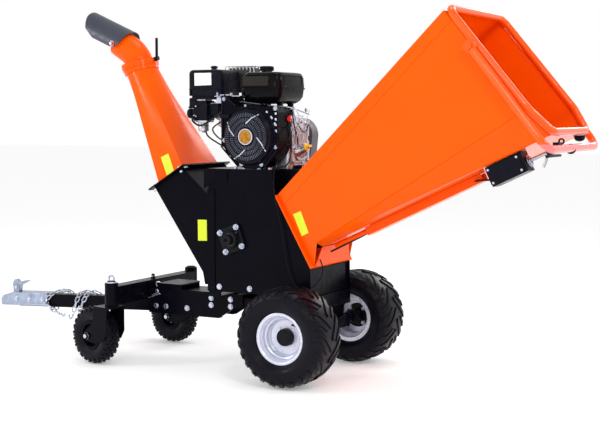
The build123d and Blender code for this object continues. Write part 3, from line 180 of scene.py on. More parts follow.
ORANGE, RED = (0.96, 0.098, 0.0005), (0.90, 0.20, 0.19)
M = {
    "orange": surface("orange_paint", ORANGE, 0.20, bump=0.05, bump_scale=240, vary=0.03, coat=0.02,
        spec=0.10, rough_vary=0.05),
    "orange_red": surface("orange_and_red_paint", ORANGE, 0.22, bump=0.06, bump_scale=240, vary=0.03,
        coat=0.25, spec=0.2, second=RED, second_below=1.016),
    "bar": surface("bar_paint", ORANGE, 0.22, bump=0.06, bump_scale=240, vary=0.03, coat=0.25, spec=0.2,
        second=RED, second_below=0.978),
    "black": surface("black_paint", (0.0024, 0.0020, 0.0048), 0.28, bump=0.15, bump_scale=900, vary=0.2,
        rough_vary=0.06, spec=0.05),
    "slate": surface("slate_paint", (0.038, 0.044, 0.066), 0.34, bump=0.12, bump_scale=700, vary=0.06),
    "guard": surface("grey_paint", (0.118, 0.112, 0.128), 0.42, bump=0.18, bump_scale=700, vary=0.06,
        spec=0.3),
    "silver": surface("silver_paint", (0.66, 0.68, 0.80), 0.30, metal=0.35, bump=0.06, bump_scale=800,
        vary=0.05),
    "zinc": surface("zinc_plate", (0.52, 0.56, 0.66), 0.28, metal=1.0, bump=0.06, bump_scale=160, vary=0.14,
        vary_scale=26, rough_vary=0.1),
    "galvanised": surface("galvanised_steel", (0.36, 0.41, 0.53), 0.36, metal=0.9, bump=0.05,
        bump_scale=140, vary=0.2, vary_scale=30, rough_vary=0.1),
    "steel": surface("bare_steel", (0.42, 0.42, 0.44), 0.34, metal=1.0, bump=0.12, bump_scale=500,
        vary=0.1),
    "cast": surface("black_casting", (0.005, 0.005, 0.007), 0.38, bump=0.4, bump_scale=420, vary=0.2,
        spec=0.12),
    "alloy": surface("cast_alloy", (0.56, 0.56, 0.60), 0.34, metal=0.9, bump=0.5, bump_scale=300, vary=0.28,
        vary_scale=34, rough_vary=0.14),
    # Lighter than the cover's black plastic: painted glints on the recoil cover's ribs.
    "rib_painted_glint": surface("cover_ribs_painted_glint", (0.15, 0.16, 0.21), 0.28, metal=0.5, bump=0.2, bump_scale=500, vary=0.2),
    "dark_alloy": surface("dark_alloy", (0.05, 0.05, 0.06), 0.40, metal=0.6, bump=0.4, bump_scale=520,
        vary=0.15),
    "heat": surface("muffler_paint", (0.02, 0.02, 0.02), 0.6, bump=0.4, bump_scale=600, vary=0.3,
        vary_scale=18),
    "tyre": surface("tyre_rubber", (0.0040, 0.0040, 0.0078), 0.36, bump=0.25, bump_scale=330, vary=0.25,
        vary_scale=9, spec=0.11),
    "belt": surface("belt_rubber", (0.012, 0.012, 0.012), 0.65, bump=0.3, bump_scale=600, vary=0.2,
        spec=0.3),
    "plastic": surface("black_plastic", (0.0042, 0.0042, 0.0100), 0.30, bump=0.2, bump_scale=950, vary=0.12,
        spec=0.09),
    "gloss": surface("gloss_black", (0.0028, 0.0025, 0.0034), 0.14, bump=0.04, bump_scale=300, vary=0.2,
        spec=0.09),
    "plate": surface("plate_film", (0.016, 0.012, 0.010), 0.3, bump=0.04, bump_scale=300, vary=0.15,
        vary_scale=30, spec=0.2),
    "yellow": surface("yellow_plastic", (0.86, 0.56, 0.012), 0.32, bump=0.15, bump_scale=500),
    "red": surface("red_plastic", (0.72, 0.02, 0.015), 0.32, bump_scale=500),
    "bronze": surface("badge_bronze", (0.42, 0.19, 0.025), 0.3, metal=0.7, bump=0.25, bump_scale=300,
        vary=0.35, vary_scale=90),
    "label": surface("label_film", (0.66, 0.80, 0.012), 0.4, bump=0.03, bump_scale=200, vary=0.05),
    "white_label": surface("white_label_film", (0.86, 0.84, 0.82), 0.4, bump=0.03, bump_scale=200,
        vary=0.04),
    "hose": surface("hose_rubber", (0.009, 0.009, 0.012), 0.38, bump=0.3, bump_scale=700, vary=0.15,
        spec=0.25),
}

NODE_LOOK = {
    "orange":
        "discharge_chute hopper_base hopper_near_side hopper_far_side hopper_top hopper_floor cable_cover "
        "chute_elbow",
    "orange_red": "hopper_rim_tube",
    "bar": "safety_bar",
    "black":
        "axle_frame front_rails front_crossbeam drawbar housing_near_plate housing_far_plate drum_casing "
        "discharge_transition engine_deck fan_housing caster_fork_near caster_fork_far caster_rim_near "
        "caster_rim_far",
    "slate": "deflector",
    "guard": "belt_guard",
    "galvanised": "hitch_coupler hitch_latch",
    "zinc": "frame_bolts throttle_lever",
    "steel": "rotor_drum chipper_knives crankshaft safety_rod",
    "cast": "bearing_housings drum_pulley engine_pulley",
    "alloy": "engine_block carburettor",
    "heat": "muffler",
    "belt": "drive_belts",
    "plastic":
        "switch_box air_cleaner recoil_cover clamp_handle fuel_cap choke_lever fuel_valve_lever "
        "starter_grip stop_lead",
    "yellow": "oil_cap",
    "red": "engine_switch",
}

# Widths in millimetres of eased edges, and the nodes that have them.
EASED = {
    0.5: "throttle_lever fuel_valve_lever",
    0.6: "choke_lever engine_switch",
    0.8: "deflector hitch_latch oil_cap carburettor",
    0.9: "hopper_near_side hopper_far_side hopper_top hopper_floor",
    1.0: "cable_cover starter_grip bearing_housings",
    1.2: "discharge_chute housing_near_plate housing_far_plate discharge_transition engine_deck "
         "engine_block",
    1.4: "hopper_base caster_fork_near caster_fork_far",
    1.5: "switch_box muffler",
    1.6: "axle_frame hitch_coupler",
    1.8: "fan_housing",
    2.0: "front_rails front_crossbeam belt_guard",
    2.5: "drawbar",
}


def ease(piece, width, angle):
    """Bevels the edges that turn by more than an angle in degrees, to a width in millimetres."""
    edge = piece.modifiers.new("edge", "BEVEL")
    edge.width, edge.segments, edge.limit_method = width * MM, 2, "ANGLE"
    edge.angle_limit = radians(angle)


def paint_nodes():
    """Materials and eased edges of the CAD nodes that are shown."""
    for look, names in NODE_LOOK.items():
        for name in names.split():
            data = frame["nodes"][name].data
            data.materials.clear()
            data.materials.append(M[look])
    for width, names in EASED.items():
        for name in names.split():
            ease(frame["nodes"][name], width, 40)


# ---- mesh helpers
def basis(axis):
    """Two unit vectors square to an axis and to each other."""
    axis = Vector(axis).normalized()
    first = axis.cross(Vector(UP))
    if first.length < 1e-3:
        first = Vector(RIGHT)
    first.normalize()
    return axis, first, axis.cross(first)


def turns(count, start=0.0):
    """Even turns round a circle, from a start in degrees."""
    return [radians(start) + 2 * pi * k / count for k in range(count)]


def around(u, v, turn):
    return u * cos(turn) + v * sin(turn)


def in_side_view(turn):
    return Vector((cos(turn), 0, sin(turn)))


def joint(name):
    """A joint's place, which a slide doesn't have, and its direction."""
    found = next(j for j in frame["joints"] if j["name"] == name)
    return Vector(found.get("pos_m", (0, 0, 0))), Vector(found["axis"])


def smooth_path(points, steps=8):
    """Catmull-Rom curve through the points."""
    points = [Vector(p) for p in points]
    ends = [points[0] * 2 - points[1]] + points + [points[-1] * 2 - points[-2]]
    out = []
    for a, b, c, d in zip(ends, ends[1:], ends[2:], ends[3:]):
        for i in range(steps):
            t = i / steps
            square, cube = 2 * a - 5 * b + 4 * c - d, 3 * b - a - 3 * c + d
            out.append(0.5 * (2 * b + (c - a) * t + square * t * t + cube * t ** 3))
    return out + [points[-1]]


class Shape:
    """Collects closed bodies into one mesh."""

    def __init__(self):
        self.points, self.faces = [], []

    def add(self, points, faces):
        start = len(self.points)
        self.points += [Vector(p) for p in points]
        self.faces += [tuple(start + i for i in face) for face in faces]

    def rings(self, rings, closed=False, caps=True):
        count = len(rings[0])
        faces = []
        for k in range(len(rings) if closed else len(rings) - 1):
            a, b = k * count, ((k + 1) % len(rings)) * count
            for i in range(count):
                j = (i + 1) % count
                faces.append((a + i, b + i, b + j, a + j))
        if caps and not closed:
            faces.append(tuple(range(count)))
            faces.append(tuple(reversed(range((len(rings) - 1) * count, len(rings) * count))))
        self.add([p for ring in rings for p in ring], faces)

    def tube(self, points, radius, sides=10, closed=False):
        points = [Vector(p) for p in points]
        count = len(points)
        rings, across = [], None
        for i, p in enumerate(points):
            ahead = points[(i + 1) % count] if closed or i < count - 1 else p
            behind = points[i - 1] if closed or i else p
            way = (ahead - behind).normalized()
            if across is None:
                across = basis(way)[1]
            across = (across - way * across.dot(way)).normalized()
            other = way.cross(across)
            size = radius[i] if isinstance(radius, (list, tuple)) else radius
            rings.append([p + around(across, other, turn) * size for turn in turns(sides)])
        self.rings(rings, closed=closed)

    def curve(self, points, radius, sides):
        """A wire or hose on a smooth curve through the points."""
        self.tube(smooth_path(points), radius, sides)

    def lathe(self, section, origin, axis, sides=48):
        """A ring, revolved from a closed section of (along, radius) in millimetres."""
        axis, u, v = basis(axis)
        origin, rings = Vector(origin), []
        for turn in turns(sides):
            out = around(u, v, turn)
            rings.append([origin + axis * (a * MM) + out * (r * MM) for a, r in section])
        self.rings(rings, closed=True)

    def turned(self, section, origin, axis, sides=48):
        """A solid with flat ends, revolved from an open section of (along, radius) in millimetres."""
        axis, u, v = basis(axis)
        ways = [around(u, v, turn) for turn in turns(sides)]
        self.rings([[Vector(origin) + axis * (a * MM) + out * (r * MM) for out in ways]
                    for a, r in section])

    def disc(self, origin, axis, radius, length, sides=24, edge=0.0):
        """A cylinder from origin along axis with a small chamfer at its far end, in millimetres."""
        section = [(0, radius), (length - edge, radius)]
        if edge:
            section.append((length, radius - edge))
        self.turned(section, origin, axis, sides)

    def hexagon(self, origin, axis, radius, length, edge=1.2):
        self.disc(origin, axis, radius, length, 6, edge)

    def bolt(self, place, axis, head, height, washer, thick, sides=24):
        """A hexagon head on a washer, both from the same face."""
        self.hexagon(place, axis, head, height)
        self.disc(place, axis, washer, thick, sides)

    def box(self, centre, size, x_dir=RIGHT, z_dir=UP):
        z_dir = Vector(z_dir).normalized()
        x_dir = (Vector(x_dir) - z_dir * Vector(x_dir).dot(z_dir)).normalized()
        y_dir = z_dir.cross(x_dir)
        half = [s * MM / 2 for s in size]
        corners = [Vector(centre) + x_dir * (i * half[0]) + y_dir * (j * half[1]) + z_dir * (k * half[2])
            for i in (-1, 1) for j in (-1, 1) for k in (-1, 1)]
        self.add(corners, [(0, 1, 3, 2), (4, 6, 7, 5), (0, 4, 5, 1), (2, 3, 7, 6), (0, 2, 6, 4),
            (1, 5, 7, 3)])

    def slab(self, outline, origin, x_dir, y_dir, depth):
        """An outline in millimetres on the x and y directions, thickened along their cross product."""
        x_dir, y_dir = Vector(x_dir).normalized(), Vector(y_dir).normalized()
        up = x_dir.cross(y_dir) * (depth * MM)
        base = [Vector(origin) + x_dir * (x * MM) + y_dir * (y * MM) for x, y in outline]
        count = len(base)
        faces = [tuple(reversed(range(count))), tuple(range(count, 2 * count))]
        faces += [(i, (i + 1) % count, count + (i + 1) % count, count + i) for i in range(count)]
        self.add(base + [p + up for p in base], faces)

    def piece(self, name, look, slot, body="chassis", bevel=0.0, sharp=38.0):
        mesh = bpy.data.meshes.new(name)
        mesh.from_pydata(self.points, [], self.faces)
        mesh.validate()
        work = bmesh.new()
        work.from_mesh(mesh)
        bmesh.ops.recalc_face_normals(work, faces=work.faces)
        work.to_mesh(mesh)
        work.free()
        mesh.shade_smooth()
        mesh.set_sharp_from_angle(angle=radians(sharp))
        piece = placed(name, mesh)
        mesh.materials.append(M[look])
        if bevel:
            ease(piece, bevel, sharp)
        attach(piece, body)
        return piece


def rounded(width, height, radius, steps=4):
    """Outline of a rounded rectangle about its middle, in millimetres."""
    out = []
    for cx, cy, start in ((1, 1, 0), (-1, 1, 90), (-1, -1, 180), (1, -1, 270)):
        for i in range(steps + 1):
            turn = radians(start + 90 * i / steps)
            out.append((cx * (width / 2 - radius) + radius * cos(turn),
                cy * (height / 2 - radius) + radius * sin(turn)))
    return out


# ---- wheels
def wheel_place(node):
    low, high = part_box(node)
    return (low + high) / 2


def carcass_half(points):
    """Distance, half width and radius along half a tyre's outside, from the crown to the bead."""
    path = smooth_path([(y, r, 0) for y, r in points], 6)
    run, out = 0.0, []
    for i, p in enumerate(path):
        run += (p - path[i - 1]).length if i else 0.0
        out.append((run, p.x, p.y))
    return out


def on_carcass(half, distance):
    """Half width, radius and outward normal at a distance from the crown."""
    for one, two in zip(half, half[1:]):
        if two[0] >= distance:
            break
    share = (distance - one[0]) / max(1e-6, two[0] - one[0])
    along = Vector((two[1] - one[1], two[2] - one[2])).normalized()
    normal = Vector((-along.y, along.x))
    if normal.y < 0 and normal.x < 0:
        normal.negate()
    return one[1] + (two[1] - one[1]) * share, one[2] + (two[2] - one[2]) * share, normal


def tyre_piece(name, node, body, axis, half_points, lugs, rows):
    """A tyre with its carcass and tread. Each row is a list of (distance, phase, half width, height)."""
    centre = wheel_place(node)
    axis, u, v = basis(axis)
    shape = Shape()
    half = carcass_half(half_points)
    outer = [(y, r) for _, y, r in half]
    bead_y, bead_r = outer[-1]
    section = outer + [(bead_y - 3, bead_r), (bead_y - 5, bead_r + 12)]
    section += [(y * 0.93, r - 8) for _, y, r in reversed(half[::6]) if r > bead_r + 20]
    mirrored = [(-y, r) for y, r in reversed(section) if abs(y) > 0.01]
    shape.lathe(section + mirrored, centre, axis, 96)
    for side in (-1, 1):
        for row in rows:
            for k in range(lugs):
                start = 2 * pi * (k + (0.5 if side > 0 else 0.0)) / lugs
                rings = []
                for distance, phase, width, height in row:
                    y, r, normal = on_carcass(half, distance)
                    ring = []
                    for lift, reach in ((-3, 1.12), (height - 1.6, 1.0), (height, 0.8), (height, -0.8),
                            (height - 1.6, -1.0), (-3, -1.12)):
                        turn = start + phase * 2 * pi / lugs + reach * width / max(r, 1)
                        radius = (r + normal.y * lift) * MM
                        out = around(u, v, turn)
                        ring.append(centre + axis * (side * (y + normal.x * lift) * MM) + out * radius)
                    rings.append(ring if side > 0 else list(reversed(ring)))
                shape.rings(rings)
    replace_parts(shape.piece(name, "tyre", "tyre_rubber", body, sharp=32), node)


# Outsides from the crown to the bead, as (half width, radius), rows of tread as tyre_piece takes them,
# and the rim's section, as (along the axle, radius), in millimetres.
MAIN_HALF = [(0, 195), (40, 194), (68, 190), (85, 182), (95, 168), (98.5, 152), (96, 134), (88, 118),
    (76, 107), (71.5, 99), (70.5, 91.5)]
MAIN_TREAD = [
    [(2, -0.42, 9, 5.5), (26, -0.12, 12, 5.5), (52, 0.20, 13, 6), (74, 0.40, 13, 6), (92, 0.46, 11, 5),
     (100, 0.46, 8, 3)],
    [(34, 0.46, 5, 4.5), (54, 0.70, 9, 5.5), (76, 0.88, 11, 6), (98, 0.94, 11, 5), (116, 0.94, 9, 2)],
]
CASTER_HALF = [(0, 120.5), (16, 119.5), (28, 115), (36, 106), (39.5, 92), (37, 76), (31, 64), (29.7, 57),
    (29.5, 53.5)]
CASTER_TREAD = [
    [(1.5, -0.1, 4.5, 5.5), (11, 0.12, 4.8, 5.8)],
    [(14, 0.55, 4.2, 5.5), (25, 0.62, 4.8, 5.8)],
    [(28, 0.08, 4.6, 5.6), (37, 0.10, 5, 5), (45, 0.10, 4.4, 2.5), (50, 0.10, 4, 1)],
]
RIM_SECTION = [
    (-76, 104), (-72, 104), (-71, 92), (-48, 89), (-42, 77), (24, 77), (34, 89), (71, 92), (72, 104),
    (76, 104), (78, 101), (77, 94), (72, 90), (66, 88.5), (63, 84), (56, 82.5), (52, 84), (46, 82.5),
    (43, 77), (36, 75.5), (32, 77), (27, 75), (24, 70), (19, 68), (17, 60), (17, 30), (13, 30),
    (13, 62), (10, 74), (-44, 74), (-50, 86), (-76, 88),
]
VALVE_TURN = 4.0


def main_wheel(side_name, side):
    """Tyre, silver rim, black hub with its bolts, and the valve."""
    body, node = f"main_wheel_{side_name}", f"wheel_rim_{side_name}"
    centre = wheel_place(node)
    axis = Vector((0, side, 0))
    tyre_piece(f"tyre_{side_name}", f"wheel_tyre_{side_name}", body, axis, MAIN_HALF, 13, MAIN_TREAD)
    rim = Shape()
    rim.lathe(RIM_SECTION, centre, axis, 96)
    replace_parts(rim.piece(f"rim_{side_name}", "silver", "silver_paint", body, sharp=45), node)
    hub = Shape()
    hub.lathe([(-64, 13), (-64, 29), (-60, 31), (8, 31), (8, 52), (13, 53), (13, 13)], centre, axis, 48)
    hub.lathe([(17, 13), (17, 34), (20, 36), (38, 34), (41, 31), (41, 13)], centre, axis, 48)
    hub.lathe([(34, 12.5), (34, 25), (41.5, 25), (44, 22), (44.5, 0.5), (34, 0.5)], centre, axis, 40)
    hub.piece(f"hub_{side_name}", "cast", "cast_black", body, bevel=0.6)
    _, u, v = basis(axis)
    studs = Shape()
    for turn in turns(4, 45):
        place = centre + around(u, v, turn) * 0.044
        studs.hexagon(place + axis * 0.008, -axis, 9, 9)
        studs.disc(place, -axis, 5, 7, 16, 1)
        studs.hexagon(place + axis * 0.017, axis, 7, 4)
    studs.piece(f"hub_bolts_{side_name}", "silver", "bolt_steel", body)
    valve = Shape()
    out = u * cos(VALVE_TURN) * -side + v * sin(VALVE_TURN)
    valve.turned([(0, 7), (4, 6), (8, 4.2), (30, 3.6), (31, 4.6), (40, 4.4), (42, 3)],
        centre + axis * 0.022 + out * 0.066, (axis * 0.9 + out * 0.25), 16)
    valve.piece(f"valve_{side_name}", "plastic", "black_plastic", body)


def caster_wheel(side_name):
    """Knobbly tyre, rim bolts, and the ends of the fork's through bolt."""
    centre, axis = joint(f"caster_{side_name}_spin")
    body = f"caster_wheel_{side_name}"
    tyre_piece(f"caster_tread_{side_name}", f"caster_tyre_{side_name}", body, axis, CASTER_HALF, 24,
        CASTER_TREAD)
    caps = Shape()
    _, u, v = basis(axis)
    for way in (-1, 1):
        for turn in turns(4, 20):
            place = centre + around(u, v, turn) * 0.034 + axis * (way * 0.006)
            caps.hexagon(place, axis * way, 6, 6)
    caps.piece(f"caster_rim_bolts_{side_name}", "zinc", "bolt_steel", body)
    ends = Shape()
    for way in (-1, 1):
        ends.turned([(0, 0.3), (0, 16), (2.5, 16), (2.5, 12), (9, 11.5), (11, 9), (11, 0.3)],
            centre + axis * (way * 0.0542), axis * way, 6)
    ends.piece(f"caster_bolt_ends_{side_name}", "zinc", "bolt_steel", f"caster_{side_name}", bevel=0.5)


# ---- engine
CRANK = Vector((0.089, 0.0, 0.991))
RECOIL_FACE, SHROUD_FACE = -0.2245, -0.1875
CYLINDER_TURN = radians(155)


def engine_front():
    """Recoil cover's ribs, spokes, rings and badge, and the shroud's louvres, folds and screws; the ribs
    are painted lighter, and the spokes and louvres silver, as painted highlights.
    """
    ribs = Shape()
    for inner, outer, count in ((41, 56, 40), (60, 77, 56), (81, 98, 72)):
        for turn in turns(count):
            way = in_side_view(turn)
            place = CRANK + way * ((inner + outer) / 2 * MM)
            ribs.box((place.x, RECOIL_FACE - 0.0012, place.z), (outer - inner, 1.7, 4.6), way, NEAR)
    # The ribs are the cover's black plastic, painted lighter as glints.
    ribs.piece("recoil_ribs", "rib_painted_glint", "black_plastic", bevel=0.4)
    spokes = Shape()
    for spoke in (87, -3, -93, 177):
        ends = []
        for radius, turn, y in ((54, spoke, -0.2292), (80, spoke - 17, -0.2284),
                                (108, spoke - 30, -0.2200)):
            a = radians(turn)
            ends.append((CRANK.x + radius * MM * cos(a), y, CRANK.z + radius * MM * sin(a)))
        spokes.tube(ends, 0.0021, 8)
    spokes.lathe([(0, 33), (3, 33), (4.5, 32), (4.5, 29.5), (2.5, 29), (0, 29)],
        (CRANK.x, RECOIL_FACE - 0.003, CRANK.z), NEAR, 64)
    # The spokes are dark; their silver colour is painted highlight from the light along their edges. The
    # badge's ring on this piece is silver.
    spokes.piece("recoil_spokes", "silver", "aluminium")
    rings = Shape()
    for inner, outer in ((57, 59.5), (78, 80.5), (99, 101.5)):
        rings.lathe([(0, inner), (0, outer), (3.5, outer - 0.6), (3.5, inner + 0.6)],
            (CRANK.x, RECOIL_FACE + 0.001, CRANK.z), NEAR, 72)
    rings.lathe([(0, 116.2), (0, 122), (5, 121), (7, 118.5), (5, 116.2)],
        (CRANK.x, -0.1885, CRANK.z), NEAR, 72)
    rings.piece("recoil_rings", "plastic", "black_plastic", bevel=0.4)
    plate = Shape()
    plate.turned([(0, 29.2), (2.5, 28.6), (3.4, 20), (3.8, 0.2)], (CRANK.x, RECOIL_FACE - 0.003, CRANK.z),
        NEAR, 64)
    plate.piece("badge_plate", "bronze", "black_plastic")
    # Silver strips on the black shroud's ribs: painted highlight where the light catches them.
    louvres = Shape()
    for turn, wide in ((52, 9), (38, 13), (24, 13), (10, 9)):
        a = radians(turn)
        way = in_side_view(a)
        place = CRANK + way * 0.1275
        louvres.box((place.x, -0.1895, place.z), (7, wide, 4), way, NEAR)
    for z in (1.085, 1.062, 1.039, 1.016):
        louvres.box((0.2095, -0.1895, z), (8, 9, 4), RIGHT, NEAR)
    louvres.piece("shroud_louvres_painted_highlight", "silver", "aluminium", bevel=0.9)
    folds = Shape()
    folds.box((-0.046, -0.190, 1.058), (7, 200, 5), RIGHT, NEAR)
    folds.box((-0.009, -0.1905, 1.139), (70, 7, 5), (1, 0, -0.9), NEAR)
    folds.box((-0.010, -0.1905, 0.909), (7, 118, 5), (1, 0, 1), NEAR)
    folds.box((0.184, -0.1905, 0.901), (7, 90, 5), (1, 0, -0.85), NEAR)
    folds.box((0.218, -0.1905, 1.0), (6, 90, 5), (1, 0, -0.05), NEAR)
    folds.piece("shroud_folds", "plastic", "black_plastic", bevel=1.6)
    screws = Shape()
    for x, z in ((-0.040, 1.145), (-0.040, 0.975), (0.045, 0.878), (0.140, 0.878), (0.203, 0.950),
            (0.206, 1.106)):
        screws.bolt((x, SHROUD_FACE, z), NEAR, 6.5, 5, 9, 1.4, 20)
    for turn in (100, 220, 340):
        a = radians(turn)
        screws.hexagon((CRANK.x + 0.128 * cos(a), SHROUD_FACE, CRANK.z + 0.128 * sin(a)), NEAR, 6, 5)
    screws.piece("shroud_screws", "zinc", "bolt_steel")


def engine_side():
    """Ribbed crankcase end and covers, governor links, springs and wires."""
    case = Shape()
    case.slab(rounded(146, 192, 26, 6), (0.2105, 0.002, 0.973), FAR, UP, 5)
    case.slab(rounded(100, 146, 30, 6), (0.215, 0.012, 0.962), FAR, UP, 5)
    for k in range(7):
        case.box((0.2185, -0.028 + 0.0135 * k, 0.962), (9, 3.2, 128 - 7 * abs(k - 3)))
    for y, z, wide, high in ((-0.062, 0.905, 20, 46), (-0.060, 0.985, 22, 58), (-0.064, 1.045, 18, 30),
            (0.068, 0.905, 18, 50), (0.067, 1.02, 18, 56)):
        case.box((0.2145, y, z), (12, wide, high), (1, 0, 0.05))
    for y, z in ((-0.045, 0.945), (0.01, 1.055), (0.055, 1.045), (0.066, 0.962), (-0.048, 1.018)):
        case.turned([(0, 11), (5, 10), (7, 8), (7, 0.3)], (0.214, y, z), RIGHT, 24)
    case.turned([(0, 25), (14, 23), (20, 20), (36, 18.5), (38, 18.5), (38, 0.3)], (0.211, -0.02, 0.929),
        (cos(0.35), 0, sin(0.35)), 32)
    case.box((0.196, -0.086, 1.066), (30, 14, 22), (1, 0, 0.2))
    case.box((0.204, -0.086, 1.018), (14, 12, 34), (1, 0, -0.1))
    case.piece("crankcase_end", "alloy", "engine_casting", bevel=1.8)
    feet = Shape()
    for x, y in ((0.03, -0.066), (0.17, -0.066), (0.196, 0.10)):
        feet.bolt((x, y, 0.8745), UP, 9, 8, 12, 2)
    for y, z in ((-0.062, 0.888), (-0.062, 1.052), (0.068, 0.888), (0.068, 1.052), (0.012, 1.050),
            (0.012, 0.880), (-0.045, 0.945), (0.055, 1.045)):
        feet.hexagon((0.2195, y, z), RIGHT, 6.5, 5)
    feet.piece("crankcase_bolts", "zinc", "bolt_steel", bevel=0.4)
    links = Shape()
    links.box((0.196, -0.075, 1.098), (60, 3, 16), (1, 0, 0.2), FAR)
    links.box((0.226, -0.060, 1.078), (66, 3, 9), (0.35, 0, -1), FAR)
    links.box((0.226, 0.010, 1.092), (10, 96, 3), (1, 0, 0.3), (0, 0.2, 1))
    links.box((0.150, -0.085, 1.110), (120, 2.5, 10), (1, 0, 0.05), FAR)
    links.disc((0.222, -0.062, 1.108), NEAR, 7, 9, 20, 1)
    links.disc((0.228, 0.030, 1.100), RIGHT, 8, 6, 20, 1)
    links.curve([(0.246, -0.055, 1.075), (0.224, -0.075, 1.106), (0.12, -0.10, 1.120),
        (-0.02, -0.12, 1.135), (-0.14, -0.10, 1.130), (-0.19, -0.09, 1.12)], 0.0018, 8)
    links.curve([(0.238, -0.052, 1.096), (0.19, -0.07, 1.114), (0.05, -0.09, 1.117), (-0.10, -0.09, 1.118)],
        0.0014, 8)
    links.curve([(0.236, 0.05, 1.10), (0.240, 0.02, 1.07), (0.234, -0.02, 1.06), (0.236, -0.05, 1.03),
        (0.232, -0.055, 0.99)], 0.0016, 8)
    coil = [(0.12 + 0.075 * t / 90, -0.097 + 0.0045 * cos(t * 0.9),
        1.104 + 0.0045 * sin(t * 0.9) + 0.012 * t / 90) for t in range(91)]
    links.tube(coil, 0.0009, 6)
    coil = [(-0.08 + 0.05 * t / 70, -0.108 + 0.004 * cos(t * 0.9), 1.126 + 0.004 * sin(t * 0.9))
        for t in range(71)]
    links.tube(coil, 0.0009, 6)
    links.piece("governor_links", "zinc", "bolt_steel", bevel=0.3)
    wires = Shape()
    wires.curve([(0.220, -0.100, 1.05), (0.226, -0.098, 1.02), (0.228, -0.092, 0.96), (0.222, -0.094, 0.90),
        (0.212, -0.112, 0.872), (0.19, -0.128, 0.864)], 0.0028, 10)
    wires.curve([(0.20, -0.085, 1.10), (0.226, -0.082, 1.080), (0.230, -0.070, 1.03), (0.229, -0.046, 0.99),
        (0.228, -0.036, 0.955)], 0.0024, 10)
    wires.curve([(0.226, 0.06, 1.04), (0.229, 0.03, 1.01), (0.229, -0.01, 1.02), (0.227, -0.05, 1.055)],
        0.0026, 10)
    wires.curve([(-0.13, -0.07, 1.05), (-0.15, -0.10, 1.02), (-0.11, -0.12, 0.985), (-0.07, -0.10, 0.96),
        (-0.05, -0.08, 0.93)], 0.0032, 10)
    wires.piece("engine_wires", "hose", "black_plastic")


def engine_left():
    """Throttle bracket, carburettor fittings, fuel hose, plug lead and cylinder head bolts."""
    bracket = Shape()
    bracket.slab([(-105, -6), (-20, -30), (34, -30), (40, 6), (-20, 24), (-95, 16)], (0.0, -0.150, 1.1555),
        RIGHT, FAR, 3.5)
    bracket.slab([(-100, 0), (-30, 0), (-36, 20), (-92, 26)], (0.0, -0.153, 1.128), RIGHT, UP, 3)
    bracket.hexagon((-0.026, -0.150, 1.1648), UP, 6, 6)
    bracket.hexagon((-0.070, -0.132, 1.1568), UP, 5, 3)
    bracket.disc((-0.096, -0.146, 1.159), UP, 4, 14, 12)
    bracket.piece("throttle_bracket", "zinc", "bolt_steel", bevel=0.5)
    carb = Shape()
    carb.turned([(0, 18), (3, 22), (26, 24), (32, 21), (36, 21), (36, 0.3)], (-0.208, -0.08, 1.010), UP, 40)
    carb.lathe([(0, 4), (0, 8), (6, 8), (6, 4)], (-0.208, -0.08, 1.004), UP, 6)
    carb.box((-0.205, -0.085, 1.052), (66, 60, 8))
    carb.disc((-0.236, -0.1, 1.074), NEAR, 7, 10, 20, 1)
    carb.piece("carburettor_bowl", "alloy", "aluminium", bevel=1.0)
    body = Shape()
    body.box((-0.208, -0.078, 1.098), (70, 62, 84))
    body.box((-0.243, -0.088, 1.130), (34, 50, 40))
    body.box((-0.150, -0.070, 1.105), (52, 46, 60), (1, 0, 0.1))
    body.turned([(0, 20), (10, 22), (20, 20), (20, 0.3)], (-0.262, -0.08, 1.086), (-1, 0, 0), 32)
    body.piece("carburettor_housing", "plastic", "black_plastic", bevel=3.0)
    hose = Shape()
    hose.curve([(-0.236, -0.108, 1.074), (-0.232, -0.130, 1.055), (-0.190, -0.128, 1.035),
        (-0.140, -0.100, 1.07), (-0.08, -0.085, 1.11), (0.01, -0.07, 1.128), (0.06, -0.05, 1.13)],
        0.0042, 12)
    hose.curve([(-0.205, -0.02, 1.16), (-0.13, 0.0, 1.19), (-0.115, 0.01, 1.15), (-0.14, 0.02, 1.11)],
        0.006, 12)
    hose.curve([(-0.168, -0.01, 1.085), (-0.215, -0.02, 1.06), (-0.22, -0.04, 1.0), (-0.15, -0.06, 0.96),
        (-0.07, -0.07, 0.93)], 0.0035, 12)
    hose.piece("engine_hoses", "hose", "black_plastic")
    head = Shape()
    tilt = in_side_view(CYLINDER_TURN)
    for y in (-0.045, 0.061):
        for up in (-0.036, 0.036):
            place = CRANK + tilt * 0.264 + Vector((0, y, 0)) + Vector((-tilt.z, 0, tilt.x)) * up
            head.hexagon(place, tilt, 6.5, 6)
    head.piece("head_bolts", "zinc", "bolt_steel")
    plug = Shape()
    plug.disc(CRANK + tilt * 0.226 + Vector((0, 0.02, -0.055)), (-0.6, 0, -0.8), 9, 34, 20, 2)
    plug.piece("plug_boot", "plastic", "black_plastic")


# Height, length, depth, corner radius and shift along X of the tank's levels, in millimetres.
TANK_LEVELS = (
    (1124.5, 120, 176, 20, -16), (1128, 142, 200, 26, -12), (1138, 164, 222, 30, -6),
    (1156, 178, 234, 32, -1), (1186, 184, 238, 32, 0), (1187, 193, 247, 35, 0),
    (1192, 193, 247, 35, 0), (1193, 186, 240, 32, 0), (1234, 183, 237, 32, 0),
    (1246, 175, 229, 30, 0), (1253, 162, 216, 26, 0), (1256.5, 140, 194, 20, 0),
)


